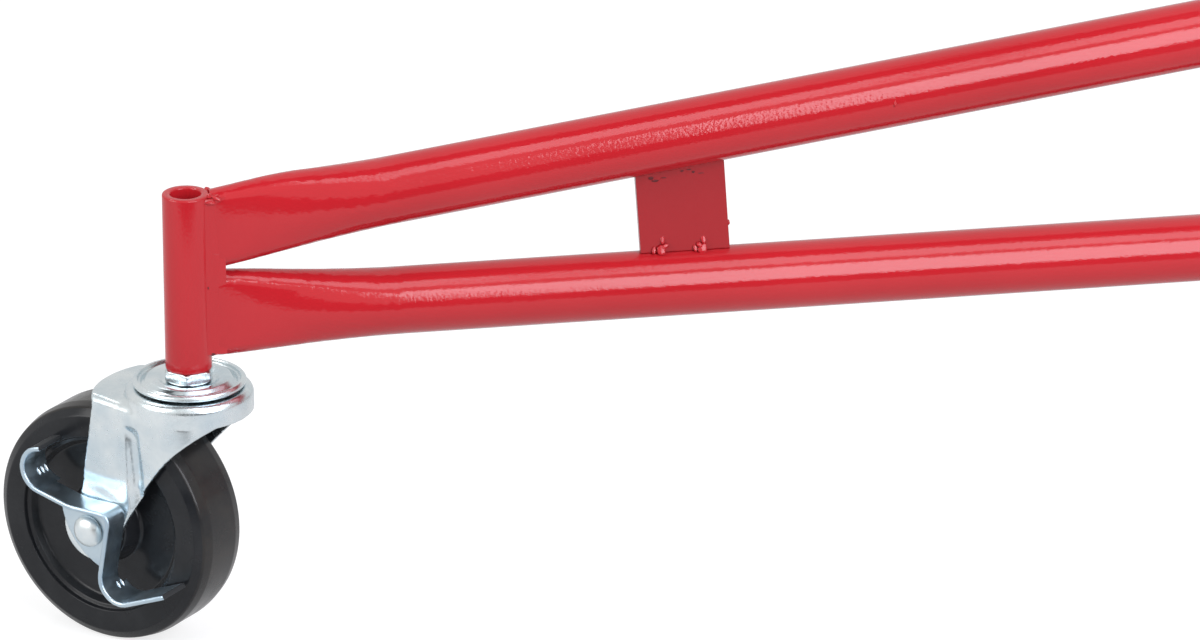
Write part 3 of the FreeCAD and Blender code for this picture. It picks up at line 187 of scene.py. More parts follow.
wheelLook = {
    "black": (0.011, 0.012, 0.014), "scuffed": (0.020, 0.021, 0.023), "dust": (0.030, 0.027, 0.024),
    "shine": 0.27, "dustScale": 55.0, "dustEnd": 0.74, "sheenScale": 120.0, "sheen": (0.15, 0.30),
    "grainScale": 1400.0, "grain": 0.10, "grainDepth": 0.0002, "edge": 0.0005,
}


def wheelPlastic(name, worn, start):
    look = wheelLook
    finish, tree, shader, coords = newFinish(name, 0.0, 0.42, look["black"])
    shader.inputs["Specular IOR Level"].default_value = look["shine"]
    dust = noiseField(tree, coords, look["dustScale"], 6.0, 0.65)
    setColour(tree, shader, dust, [(start, look["black"]), (look["dustEnd"], look[worn])])
    setSheen(tree, shader, noiseField(tree, coords, look["sheenScale"], 4.0), *look["sheen"])
    setGrain(tree, shader, noiseField(tree, coords, look["grainScale"], 3.0), look)
    return finish


plasticLook = {
    "colour": (0.016, 0.016, 0.017), "roughness": 0.45, "sheenScale": 90.0, "sheen": (0.36, 0.55),
    "grainScale": 1100.0, "grain": 0.12, "grainDepth": 0.0002, "edge": 0.0008,
}
blackPaintLook = {
    "colour": (0.014, 0.014, 0.015), "roughness": 0.28, "sheenScale": 40.0, "sheen": (0.20, 0.36),
    "grainScale": 360.0, "grain": 0.12, "grainDepth": 0.0003, "edge": 0.0006,
}


def blackCoat(name, look):
    finish, tree, shader, coords = newFinish(name, 0.0, look["roughness"], look["colour"])
    setSheen(tree, shader, noiseField(tree, coords, look["sheenScale"], 4.0), *look["sheen"])
    setGrain(tree, shader, noiseField(tree, coords, look["grainScale"], 2.0), look)
    return finish


def plainFinish(name, metallic, roughness, colour):
    return newFinish(name, metallic, roughness, colour)[0]


finishes = {
    "red_paint": redPaint("redPaint", 0.43, 1.0),
    # the spacer plate's red is darkened to 0.74: painted shade from the upper tube above it
    "plate": redPaint("plateShadedPaint", 0.36, 0.74),
    "zinc": zincPlate("zincPlate", "blue", "pale", 0.16, 0.32),
    # the lever's zinc runs from slate to blue, darker than the fork's: painted shade that dims its
    # reflections
    "lever": zincPlate("leverZincShaded", "slate", "blue", 0.28, 0.42),
    "bolt": zincPlate("boltZinc", "blue", "pale", 0.26, 0.40),
    "wheel": wheelPlastic("wheelPlastic", "scuffed", 0.42),
    "tread": wheelPlastic("dustyTread", "dust", 0.30),
    "black_plastic": blackCoat("blackPlastic", plasticLook),
    "glide_plastic": blackCoat("blackPlastic", plasticLook),
    "black_paint": blackCoat("blackPaint", blackPaintLook),
    # near-black for the levers' cut ends: bare steel darkened as painted shade
    "shadedCutEnds": plainFinish("shadedCutEnds", 0.0, 0.75, (0.012, 0.014, 0.016)),
    # dark red for the weld pits: painted shade of their hollows
    "pitShade": plainFinish("weldPitShade", 0.0, 0.7, (0.11, 0.006, 0.009)),
}
ownFinish = {"spacer_plate": "plate", "axle_bolt": "bolt"}  # nodes that differ from their slot's finish
slotOf = {entry["node"]: entry["material_slot"] for entry in frame["record"]["subparts"]}
bodyOf = {node: body for body, members in frame["record"]["behaviour"]["bodies"].items() for node in members}
print("finishes:", len(finishes))


# mesh helpers

def meshOf(bm, name):
    mesh = bpy.data.meshes.new(name)
    bm.to_mesh(mesh)
    bm.free()
    return mesh


def smoothShade(mesh, degrees):
    mesh.shade_smooth()
    mesh.set_sharp_from_angle(angle=math.radians(degrees))


def settle(piece):  # turns what the modifiers make into the piece's own mesh
    made = bpy.data.meshes.new_from_object(piece.evaluated_get(bpy.context.evaluated_depsgraph_get()))
    piece.modifiers.clear()
    piece.data = made
    return made


def settleDraft(piece):  # the same for a piece that is only a step on the way
    made = settle(piece)
    bpy.data.objects.remove(piece)
    return made


def looseObject(name, mesh):
    piece = bpy.data.objects.new(name, mesh)
    bpy.context.scene.collection.objects.link(piece)
    return piece


def addPiece(name, mesh, finish, body, slot, *stoodFor):
    piece = looseObject(name, mesh)
    if mesh.materials:
        mesh.materials.clear()
    mesh.materials.append(finish)
    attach(piece, body)
    if stoodFor:
        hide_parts(*stoodFor)
    return piece


skinLook = {"mergeGap": 2e-6, "sharpAngle": 32}


def mergedCopy(node):
    bm = bmesh.new()
    bm.from_mesh(nodes[node].data)
    bmesh.ops.remove_doubles(bm, verts=bm.verts, dist=skinLook["mergeGap"])
    return meshOf(bm, node + "Skin")


def skin(node):  # a smooth-shaded copy of a CAD node
    mesh = mergedCopy(node)
    smoothShade(mesh, skinLook["sharpAngle"])
    piece = looseObject(node + "Draft", mesh)
    even = piece.modifiers.new("even", "WEIGHTED_NORMAL")
    even.keep_sharp = True
    made = settleDraft(piece)
    slot = slotOf[node]
    finish = finishes[next((ownFinish[key] for key in ownFinish if key in node), slot)]
    return addPiece(node + "Skin", made, finish, bodyOf[node], slot, node)


def arcPoint(start, knee, end, t):  # a point on the curve that leaves start and meets end towards the knee
    return start * (1 - t) ** 2 + knee * 2 * t * (1 - t) + end * t ** 2


def roundedProfile(corners, steps):  # corners are (x, y, radius) and the profile is open
    share = 0.49  # of a side, the most that one corner takes
    points = [Vector(corners[0][:2])]
    for before, corner, after in zip(corners, corners[1:], corners[2:]):
        here = Vector(corner[:2])
        radius = corner[2] if len(corner) > 2 else 0.0
        toBefore = Vector(before[:2]) - here
        toAfter = Vector(after[:2]) - here
        if radius <= 0:
            points.append(here)
            continue
        angle = toBefore.angle(toAfter)
        reach = min(radius / math.tan(angle / 2), share * toBefore.length, share * toAfter.length)
        start = here + toBefore.normalized() * reach
        end = here + toAfter.normalized() * reach
        points += [arcPoint(start, here, end, step / steps) for step in range(steps + 1)]
    points.append(Vector(corners[-1][:2]))
    return points


def lathe(name, profile, around):  # spins a closed profile of (radius, height) about Z
    bm = bmesh.new()
    turn = 2 * math.pi / around
    circle = [(math.cos(turn * i), math.sin(turn * i)) for i in range(around)]
    hoops = []
    for radius, height in profile:
        hoops.append([bm.verts.new((radius * x, radius * y, height)) for x, y in circle])
    for low, high in zip(hoops, hoops[1:] + hoops[:1]):
        for i in range(around):
            j = (i + 1) % around
            bm.faces.new((low[i], low[j], high[j], high[i]))
    bmesh.ops.recalc_face_normals(bm, faces=bm.faces)
    return meshOf(bm, name)


def placed(mesh, place):
    copy = mesh.copy()
    copy.transform(place)
    return copy


def softRise(x, low, high):  # 0 below low, 1 above high, with an easy start and end
    t = min(max((x - low) / (high - low), 0.0), 1.0)
    return t * t * (3 - 2 * t)


def remeshed(mesh, voxel, softness):
    piece = looseObject("remeshDraft", mesh)
    even = piece.modifiers.new("even", "REMESH")
    even.mode = "VOXEL"
    even.voxel_size = voxel
    even.adaptivity = 0.0
    soften = piece.modifiers.new("soften", "SMOOTH")
    soften.factor = 0.5
    soften.iterations = softness
    made = settleDraft(piece)
    made.shade_smooth()
    return made


def joined(name, meshes):
    bm = bmesh.new()
    for mesh in meshes:
        bm.from_mesh(mesh)
    return meshOf(bm, name)


# node trees for what repeats

def newTree(name, fields):  # a node tree with named inputs, its two ends returned with it
    tree = bpy.data.node_groups.new(name, "GeometryNodeTree")
    tree.interface.new_socket("Geometry", in_out="INPUT", socket_type="NodeSocketGeometry")
    for label, kind in fields:
        tree.interface.new_socket(label, in_out="INPUT", socket_type="NodeSocket" + kind)
    tree.interface.new_socket("Geometry", in_out="OUTPUT", socket_type="NodeSocketGeometry")
    start = tree.nodes.new("NodeGroupInput").outputs
    end = tree.nodes.new("NodeGroupOutput").inputs
    return tree, start, end


def finishTree(tree, start, end, made):  # plain smooth geometry in the chosen finish
    whole = tree.nodes.new("GeometryNodeRealizeInstances")
    smooth = tree.nodes.new("GeometryNodeSetShadeSmooth")
    dressed = tree.nodes.new("GeometryNodeSetMaterial")
    tree.links.new(made, whole.inputs["Geometry"])
    tree.links.new(whole.outputs["Geometry"], smooth.inputs["Geometry"])
    tree.links.new(smooth.outputs["Geometry"], dressed.inputs["Geometry"])
    tree.links.new(start["Finish"], dressed.inputs["Material"])
    tree.links.new(dressed.outputs["Geometry"], end["Geometry"])


def rowOf(tree, start):  # points in a row, and the node that sets a shape on each
    row = tree.nodes.new("GeometryNodeMeshLine")
    spots = tree.nodes.new("GeometryNodeInstanceOnPoints")
    tree.links.new(start["Count"], row.inputs["Count"])
    tree.links.new(start["Start"], row.inputs["Start Location"])
    tree.links.new(start["Step"], row.inputs["Offset"])
    tree.links.new(row.outputs["Mesh"], spots.inputs["Points"])
    tree.links.new(start["Turn"], spots.inputs["Rotation"])
    return spots


rowFields = [("Count", "Int"), ("Start", "Vector"), ("Step", "Vector"), ("Turn", "Vector")]
treeShape = {
    "markSides": 12, "markRings": 8, "lumpCuts": 2, "lumpLeast": (0.80, 0.80, 0.80),
    "lumpMost": (1.20, 1.20, 1.15), "ringSides": 48, "ringSection": 8,
}


def markTree():  # a row of raised marks
    tree, start, end = newTree("gripMarks", rowFields + [("Size", "Vector"), ("Finish", "Material")])
    spots = rowOf(tree, start)
    bead = tree.nodes.new("GeometryNodeMeshUVSphere")
    bead.inputs["Segments"].default_value = treeShape["markSides"]
    bead.inputs["Rings"].default_value = treeShape["markRings"]
    bead.inputs["Radius"].default_value = 0.5
    tree.links.new(bead.outputs["Mesh"], spots.inputs["Instance"])
    tree.links.new(start["Size"], spots.inputs["Scale"])
    finishTree(tree, start, end, spots.outputs["Instances"])
    return tree


def ringTree():  # a row of thin rings
    fields = [("Radius", "Float"), ("Width", "Float"), ("Finish", "Material")]
    tree, start, end = newTree("ringRow", rowFields + fields)
    spots = rowOf(tree, start)
    circle = tree.nodes.new("GeometryNodeCurvePrimitiveCircle")
    circle.inputs["Resolution"].default_value = treeShape["ringSides"]
    section = tree.nodes.new("GeometryNodeCurvePrimitiveCircle")
    section.inputs["Resolution"].default_value = treeShape["ringSection"]
    ring = tree.nodes.new("GeometryNodeCurveToMesh")
    tree.links.new(start["Radius"], circle.inputs["Radius"])
    tree.links.new(start["Width"], section.inputs["Radius"])
    tree.links.new(circle.outputs["Curve"], ring.inputs["Curve"])
    tree.links.new(section.outputs["Curve"], ring.inputs["Profile Curve"])
    tree.links.new(ring.outputs["Mesh"], spots.inputs["Instance"])
    finishTree(tree, start, end, spots.outputs["Instances"])
    return tree


def beadTree():  # overlapping lumps of weld along the edges of a mesh
    fields = [("Spacing", "Float"), ("Width", "Float"), ("Seed", "Int"), ("Finish", "Material")]
    tree, start, end = newTree("weldBead", fields)
    path = tree.nodes.new("GeometryNodeMeshToCurve")
    points = tree.nodes.new("GeometryNodeCurveToPoints")
    points.mode = "LENGTH"
    lumps = tree.nodes.new("GeometryNodeMeshIcoSphere")
    lumps.inputs["Subdivisions"].default_value = treeShape["lumpCuts"]
    half = tree.nodes.new("ShaderNodeMath")
    half.operation = "MULTIPLY"
    half.inputs[1].default_value = 0.5
    sizes = tree.nodes.new("FunctionNodeRandomValue")
    sizes.data_type = "FLOAT_VECTOR"
    sizes.inputs["Min"].default_value = treeShape["lumpLeast"]
    sizes.inputs["Max"].default_value = treeShape["lumpMost"]
    spots = tree.nodes.new("GeometryNodeInstanceOnPoints")
    tree.links.new(start["Geometry"], path.inputs["Mesh"])
    tree.links.new(path.outputs["Curve"], points.inputs["Curve"])
    tree.links.new(start["Spacing"], points.inputs["Length"])
    tree.links.new(start["Width"], half.inputs[0])
    tree.links.new(half.outputs[0], lumps.inputs["Radius"])
    tree.links.new(start["Seed"], sizes.inputs["Seed"])
    tree.links.new(points.outputs["Points"], spots.inputs["Points"])
    tree.links.new(lumps.outputs["Mesh"], spots.inputs["Instance"])
    tree.links.new(points.outputs["Rotation"], spots.inputs["Rotation"])
    tree.links.new(sizes.outputs["Value"], spots.inputs["Scale"])
    finishTree(tree, start, end, spots.outputs["Instances"])
    return tree


def grow(tree, mesh, values):  # what a tree makes of a mesh, as a plain mesh
    piece = looseObject("growDraft", mesh)
    modifier = piece.modifiers.new("grow", "NODES")
    modifier.node_group = tree
    for item in tree.interface.items_tree:
        if item.name in values and item.in_out == "INPUT":
            modifier[item.identifier] = values[item.name]
    return settleDraft(piece)


marks = markTree()
beads = beadTree()
rings = ringTree()

# caster forks: drawn sheet with round edges, pressed ribs and a raised boss at the axle
forkLook = {
    "voxel": 0.00052, "softness": 4, "legInner": 0.0150, "legTop": 0.076, "legFade": 0.012,
    "boss": 0.0150, "rampEnd": 0.0215, "joggle": 0.0012,
    "bend": (0.0165, 0.0215, 0.1015), "bendReach": 0.016, "bendCore": 0.4, "bendSoftness": 60,
    "rib": (0.0084, 0.0178), "ribDepth": 0.0014, "ribFloor": (0.5, 0.55), "ribFoot": 0.062, "ribTop": 0.100,
    "footFade": 0.006, "topFade": 0.007, "backing": [(0.0186, 0.071), (0.0186, 0.077), (0.0216, 0.099)],
    "backingDepth": 0.0022, "backingSpan": (0.0112, 0.0172),
}


def ribBacking(bm, side):  # the inner bulge of a pressed rib
    outer = forkLook["backing"]
    section = outer + [(y - forkLook["backingDepth"], z) for y, z in reversed(outer)]
    near, far = [[bm.verts.new((x, side * y, z)) for y, z in section] for x in forkLook["backingSpan"]]
    bm.faces.new(near)
    bm.faces.new(far)
    for i in range(len(section)):
        j = (i + 1) % len(section)
        bm.faces.new((near[i], near[j], far[j], far[i]))


def easedBend(mesh):  # flows the crown's bell into the legs
    look = forkLook
    piece = looseObject("bendDraft", mesh)
    group = piece.vertex_groups.new(name="bend")
    for vertex in mesh.vertices:
        x, y, z = vertex.co
        away = (Vector((x, abs(y), z)) - Vector(look["bend"])).length
        weight = 1 - softRise(away, look["bendCore"] * look["bendReach"], look["bendReach"])
        if weight > 0:
            group.add([vertex.index], weight, "REPLACE")
    ease = piece.modifiers.new("ease", "SMOOTH")
    ease.vertex_group = "bend"
    ease.factor = 0.5
    ease.iterations = look["bendSoftness"]
    return settleDraft(piece)


def ribPress(x, z):  # how far the pressed rib dips at a spot on the leg
    look = forkLook
    low, high = look["rib"]
    floorStart, floorEnd = look["ribFloor"]
    across = (high - x) / (high - low)
    dip = softRise(across, 0.0, floorStart) * (1 - softRise(across, floorEnd, 1.0))
    along = softRise(z, look["ribFoot"], look["ribFoot"] + look["footFade"])
    along *= 1 - softRise(z, look["ribTop"] - look["topFade"], look["ribTop"])
    return look["ribDepth"] * dip * along


def drawnFork():
    look = forkLook
    mesh = placed(mergedCopy("rear_caster_fork"), casterPlace("rear").inverted())
    bm = bmesh.new()
    for side in (-1, 1):
        ribBacking(bm, side)
    bmesh.ops.recalc_face_normals(bm, faces=bm.faces)
    bm.from_mesh(mesh)
    made = easedBend(remeshed(meshOf(bm, "fork"), look["voxel"], look["softness"]))
    for vertex in made.vertices:
        x, y, z = vertex.co
        if abs(y) < look["legInner"]:
            continue
        vertex.co.y -= math.copysign(ribPress(x, z), y)
        if z > look["legTop"]:
            continue
        away = math.hypot(x - layout["trail"], z - layout["axleHeight"])
        inwards = look["joggle"] * softRise(away, look["boss"], look["rampEnd"])
        inwards *= 1 - softRise(z, look["legTop"] - look["legFade"], look["legTop"])
        vertex.co.y -= math.copysign(inwards, y)
    return made


# brake levers: bent strip with round edges, cut ends of bare steel darkened to near-black as painted shade,
# and raised grip marks
leverLook = {
    "voxel": 0.00042, "softness": 5, "endDepth": 0.0016, "endTilt": 0.6, "markSize": (0.0010, 0.0011, 0.0036),
    "markRows": [
        {"Count": 3, "Start": (0.0572, 0.0186, 0.0711), "Step": (0, 0.0025, 0), "Turn": (0, 0.58, 0)},
        {"Count": 2, "Start": (0.0201, 0.0204, 0.0302), "Step": (0, 0.0026, 0), "Turn": (0, 0.66, 0)},
    ],
}


def bentLever():
    look = leverLook
    mesh = placed(mergedCopy("rear_brake_lever"), casterPlace("rear").inverted())
    strip = remeshed(mesh, look["voxel"], look["softness"])
    top = max(vertex.co.z for vertex in strip.vertices)
    front = min(vertex.co.x for vertex in strip.vertices)
    # faces at the cut ends take the second finish, near-black painted shade
    for face in strip.polygons:
        atEnd = face.center.z > top - look["endDepth"] or face.center.x < front + look["endDepth"]
        face.material_index = 1 if atEnd and abs(face.normal.y) < look["endTilt"] else 0
    return strip


def leverMarks():
    made = []
    for row in leverLook["markRows"]:
        values = dict(row, Size=leverLook["markSize"], Finish=finishes["zinc"])
        made.append(grow(marks, bpy.data.meshes.new("markRow"), values))
    both = joined("leverMarks", made)
    both.shade_smooth()
    return both


# caster wheels, turned about the axle: half a section as (radius, side, rounding)
wheelShape = {
    "section": [
        (0.0061, 0.0172, 0.0), (0.0140, 0.0172, 0.0010), (0.0165, 0.0095, 0.0020),
        (0.0330, 0.0095, 0.0018), (0.0350, 0.0128, 0.0005), (0.0364, 0.0133, 0.0003),
        (0.0369, 0.0150, 0.0004), (0.0455, 0.0150, 0.0016), (0.0490, 0.0125, 0.0020),
        (0.0500, 0.0080, 0.0040),
    ],
    "around": 160, "sharpAngle": 38, "tread": 0.048,
}


def turnedWheel():
    outer = wheelShape["section"]
    profile = roundedProfile(outer + [(r, -y, e) for r, y, e in reversed(outer)], 6)
    mesh = lathe("casterWheel", profile, wheelShape["around"])
    axle = Matrix.Translation((layout["trail"], 0, layout["axleHeight"]))
    mesh.transform(axle @ Matrix.Rotation(math.pi / 2, 4, "X"))
    smoothShade(mesh, wheelShape["sharpAngle"])
    for face in mesh.polygons:
        reach = math.hypot(face.center.x - layout["trail"], face.center.z - layout["axleHeight"])
        face.material_index = 1 if reach > wheelShape["tread"] else 0
    return mesh


# the upper race: dished seat, raised ring, groove and rolled rim, as (radius, height, rounding)
capShape = {
    "section": [
        (0.0080, 0.1137), (0.0080, 0.1149), (0.0108, 0.1149, 0.0006),
        (0.0126, 0.11600, 0.0006), (0.0142, 0.11640, 0.0006), (0.0166, 0.11630, 0.0010),
        (0.0180, 0.11500, 0.0007), (0.0194, 0.11420, 0.0007), (0.0203, 0.11430, 0.0004),
        (0.0206, 0.11590, 0.0005), (0.0218, 0.11600, 0.0011), (0.0229, 0.11480, 0.0011),
        (0.0222, 0.11345, 0.0008), (0.0190, 0.1137, 0.0005), (0.0080, 0.1137),
    ],
    "around": 128, "sharpAngle": 40,
}


def turnedCap():
    mesh = lathe("casterCap", roundedProfile(capShape["section"], 6)[:-1], capShape["around"])
    smoothShade(mesh, capShape["sharpAngle"])
    return mesh


fork = drawnFork()
lever = bentLever()
pads = leverMarks()
wheel = turnedWheel()
cap = turnedCap()
specialNodes = set()
for leg in layout["legAngles"]:
    here = casterPlace(leg)
    sheet = placed(fork, here)
    addPiece(leg + "ForkSheet", sheet, finishes["zinc"], leg + "_fork", "zinc", leg + "_caster_fork")
    bent = placed(lever, here)
    brake = leg + "_brake"
    # the lever strip takes the darker zinc, painted shade
    strip = addPiece(leg + "LeverStrip", bent, finishes["lever"], brake, "zinc", leg + "_brake_lever")
    # second finish: near-black painted shade on the cut ends
    strip.data.materials.append(finishes["shadedCutEnds"])
    addPiece(leg + "PadMarks", placed(pads, here), finishes["zinc"], brake, "zinc")
    capBody = bodyOf[leg + "_caster_cap"]
    addPiece(leg + "TurnedCap", placed(cap, here), finishes["zinc"], capBody, "zinc", leg + "_caster_cap")
    tyre = addPiece(
        leg + "TurnedWheel", placed(wheel, here), finishes["wheel"], leg + "_wheel", "black_plastic",
        leg + "_caster_wheel",
    )
    tyre.data.materials.append(finishes["tread"])
    specialNodes |= {leg + part for part in ("_caster_fork", "_brake_lever", "_caster_wheel", "_caster_cap")}
print("casters: fork", len(fork.polygons), "lever", len(lever.polygons), "wheel", len(wheel.polygons))

# leg ends: sleeve, welds and the upper tube's pressed end
sleeveShape = {
    "outer": 0.0093, "bore": 0.0061, "foot": 0.1200, "top": 0.1933, "round": 0.0008,
    "around": 96, "sharpAngle": 40,
}


def turnedSleeve():
    shape = sleeveShape
    edge = shape["round"]
    middle = (shape["foot"] + shape["top"]) / 2
    profile = roundedProfile([
        (shape["bore"], middle), (shape["bore"], shape["top"], edge),
        (shape["outer"], shape["top"], edge), (shape["outer"], shape["foot"], edge),
        (shape["bore"], shape["foot"], edge), (shape["bore"], middle),
    ], 4)
    mesh = lathe("sleeve", profile[:-1], shape["around"])
    smoothShade(mesh, shape["sharpAngle"])
    return mesh


seamLook = {
    "flatHalf": 0.0055, "foot": 0.1268, "top": 0.1925, "from": 44.0, "reach": 0.0148, "rough": 0.00003,
    "knee": 0.0086, "kneeLift": 0.00004, "startLift": 0.00002, "endSink": 0.00001,
    "rows": 90, "columns": 14, "grain": (240, 3, 170),
}


def seamFillet(bm, side):  # smooth weld between the sleeve and the flattened tube ends
    look = seamLook
    angle = math.radians(look["from"])
    start = Vector((math.cos(angle), math.sin(angle))) * (sleeveShape["outer"] + look["startLift"])
    knee = Vector((look["knee"], look["flatHalf"] + look["kneeLift"]))
    end = Vector((look["reach"], look["flatHalf"] - look["endSink"]))
    along, across, up = look["grain"]
    rows = []
    for row in range(look["rows"] + 1):
        z = look["foot"] + (look["top"] - look["foot"]) * row / look["rows"]
        verts = []
        for column in range(look["columns"] + 1):
            t = column / look["columns"]
            spot = arcPoint(start, knee, end, t)
            grain = noise.noise(Vector((spot.x * along, side * across, z * up)))
            bump = grain * look["rough"] * math.sin(math.pi * t)
            verts.append(bm.verts.new((spot.x, side * (spot.y + bump), z)))
        rows.append(verts)
    for low, high in zip(rows, rows[1:]):
        for i in range(look["columns"]):
            quad = (low[i], low[i + 1], high[i + 1], high[i])
            bm.faces.new(quad if side < 0 else quad[::-1])


def isUpright(edge):
    first, second = edge.verts
    return abs(first.co.z - second.co.z) > 1e-6


def block(bm, low, high, edge):  # a box with its upright edges eased
    made = bmesh.ops.create_cube(bm, size=1.0)
    size = Vector(high) - Vector(low)
    middle = (Vector(high) + Vector(low)) / 2
    for vertex in made["verts"]:
        vertex.co = Vector((vertex.co.x * size.x, vertex.co.y * size.y, vertex.co.z * size.z)) + middle
    upright = {found for vertex in made["verts"] for found in vertex.link_edges if isUpright(found)}
    bmesh.ops.bevel(bm, geom=list(upright), offset=edge, segments=4, profile=0.5, affect="EDGES")


def blob(bm, place, cuts, rough, grain, shift):  # an uneven ball, put in place
    made = bmesh.ops.create_icosphere(bm, subdivisions=cuts, radius=1.0)
    for vertex in made["verts"]:
        vertex.co *= 1 + rough * noise.noise(vertex.co * grain + Vector(shift))
        vertex.co = place @ vertex.co


# lumps as (x, y, z, half sizes, turn) on the camera's side of a leg, in millimetres and degrees;
# those within plateSpan come again on the other side, moved by otherShift
legWeldLook = {
    "fillLow": (0.0068, -0.00552, 0.1530), "fillHigh": (0.0133, 0.00552, 0.1690), "fillEdge": 0.0005,
    "lean": 25, "rough": 0.22, "grain": 1.4, "plateSpan": (180, 210), "otherShift": -1.3, "sharpAngle": 50,
    "lumps": [
        (8.6, -6.0, 190.9, (2.6, 0.8, 0.9), 12), (11.6, -5.5, 192.2, (2.2, 0.7, 0.8), 28),
        (10.2, -4.0, 192.6, (2.8, 1.2, 0.9), -8), (9.0, -1.4, 192.3, (1.8, 2.6, 0.8), 0),
        (9.0, 2.2, 192.3, (1.8, 2.6, 0.8), 0), (190.0, -1.8, 161.4, (0.9, 0.35, 1.9), 4),
        (189.4, -2.7, 157.5, (1.7, 0.50, 2.2), -10), (190.9, -2.4, 158.9, (1.5, 0.40, 0.9), -30),
        (186.5, -2.2, 157.3, (0.9, 0.40, 1.6), 8), (206.5, -1.8, 160.7, (0.95, 0.35, 1.9), -3),
        (206.1, -2.7, 157.1, (1.8, 0.50, 2.2), 12), (204.8, -2.4, 158.6, (1.3, 0.40, 0.9), 30),
        (203.2, -2.2, 157.2, (0.9, 0.40, 1.6), -6), (216.9, -0.6, 166.7, (0.5, 0.9, 1.1), 0),
        (281.2, -13.5, 217.3, (0.55, 0.45, 1.3), 6),
    ],
}


def lump(bm, spot, half, turn, seed):  # weld metal, its face turned a little upwards
    look = legWeldLook
    lean = math.copysign(math.radians(look["lean"]), spot.y)
    place = Matrix.Translation(spot) @ Matrix.Rotation(lean, 4, "X")
    place @= Matrix.Rotation(math.radians(turn), 4, "Y")
    place @= Matrix.Diagonal((*[value / 1000 for value in half], 1))
    blob(bm, place, 3, look["rough"], look["grain"], (seed, seed * 0.7, 3.1))


def legWelds():
    look = legWeldLook
    bm = bmesh.new()
    for side in (-1, 1):
        seamFillet(bm, side)
    block(bm, look["fillLow"], look["fillHigh"], look["fillEdge"])
    plateStart, plateEnd = look["plateSpan"]
    for index, (x, y, z, half, turn) in enumerate(look["lumps"]):
        lump(bm, Vector((x, y, z)) / 1000, half, turn, index * 1.7)
        if plateStart < x < plateEnd:
            lump(bm, Vector((x + look["otherShift"], -y, z)) / 1000, half, -turn, index * 2.3)
    mesh = meshOf(bm, "legWelds")
    smoothShade(mesh, look["sharpAngle"])
    return mesh


# pits as (x, half thickness, z, half width, half height), in millimetres
pitLook = {
    "depth": 0.08, "rough": 0.35, "grain": 1.6,
    "pits": [
        (185.4, 1.5, 187.7, 1.1, 0.8), (187.0, 1.5, 186.5, 1.4, 0.5), (190.3, 1.5, 187.6, 1.2, 0.25),
        (197.8, 1.5, 190.0, 0.6, 0.5), (200.6, 1.5, 190.4, 1.0, 0.3), (202.3, 1.5, 189.3, 0.7, 0.45),
        (205.4, 1.5, 188.6, 1.3, 0.2), (8.8, 5.9, 126.9, 1.1, 0.6), (7.5, 6.25, 155.2, 0.3, 0.6),
    ],
}


# the pits are real, but they are drawn as slightly proud blobs whose dark red is painted shade of the hollows
def pitShadeMarks():  # small dark pits left by the welds
    look = pitLook
    bm = bmesh.new()
    for index, (x, half, z, wide, tall) in enumerate(look["pits"]):
        for side in (-1, 1):
            place = Matrix.Translation(Vector((x, side * half, z)) / 1000)
            place @= Matrix.Diagonal((wide / 1000, look["depth"] / 1000, tall / 1000, 1))
            blob(bm, place, 2, look["rough"], look["grain"], (index * 2.1, 0, side))
    mesh = meshOf(bm, "pitShadeMarks")
    mesh.shade_smooth()
    return mesh


# the upper tube's end is pressed down towards the sleeve's rim
pressLook = {"drop": 0.0036, "near": 0.004, "far": 0.046, "axis": 0.1781, "rise": 7.8, "half": 0.018}


def pressEnd(mesh, place):
    look = pressLook
    back = place.inverted()
    slope = math.tan(math.radians(look["rise"]))
    for vertex in mesh.vertices:
        spot = back @ vertex.co
        above = spot.z - look["axis"] - spot.x * slope
        if spot.x > look["far"] or above <= 0:
            continue
        fade = 1 - softRise(spot.x, look["near"], look["far"])
        spot.z -= look["drop"] * fade * min(above / look["half"], 1.0)
        vertex.co = place @ spot


sleeve = turnedSleeve()
welds = legWelds()
pits = pitShadeMarks()
for leg in layout["legAngles"]:
    here = legPlace(leg)
    body = legBodies[leg]
    paint = finishes["red_paint"]
    addPiece(leg + "Sleeve", placed(sleeve, here), paint, body, "red_paint", leg + "_caster_sleeve")
    addPiece(leg + "LegWelds", placed(welds, here), paint, body, "red_paint")
    # dark blobs of painted shade where the weld pits are
    addPiece(leg + "PlatePitShade", placed(pits, here), finishes["pitShade"], body, "red_paint")
    pressEnd(skin(leg + "_upper_tube").data, here)
    specialNodes |= {leg + "_caster_sleeve", leg + "_upper_tube"}
print("leg ends: weld faces", len(welds.polygons))

# weld beads on the frame
beadLook = {"Spacing": 0.0016, "Width": 0.0042, "Seed": 7, "Finish": finishes["red_paint"]}
seamPlaces = {
    "socketLift": 0.0006, "armReach": 0.290, "armHalf": 0.016, "armLift": 0.0004, "armInset": 0.004,
    "barrelReach": 0.5318, "barrelHalf": 0.0060, "barrelSpans": [(0.127, 0.158), (0.236, 0.266)],
}


def addBeads(name, body, lines, place):
    bm = bmesh.new()
    for points in lines:
        verts = [bm.verts.new(point) for point in points]
        for first, second in zip(verts, verts[1:]):
            bm.edges.new((first, second))
    made = grow(beads, meshOf(bm, name), beadLook)
    made.transform(place)
    addPiece(name, made, finishes["red_paint"], body, "red_paint")
    return len(made.polygons)


def boxEnds(node):  # the lowest and highest corner of a node's box
    return [Vector(corner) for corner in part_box(node)]


def socketLine():  # round the mast socket, on the hub's top plate
    low, high = boxEnds("mast_socket")
    z = boxEnds("hub_top_plate")[1].z + seamPlaces["socketLift"]
    around = [(low.x, low.y), (high.x, low.y), (high.x, high.y), (low.x, high.y), (low.x, low.y)]
    return [(x, y, z) for x, y in around]


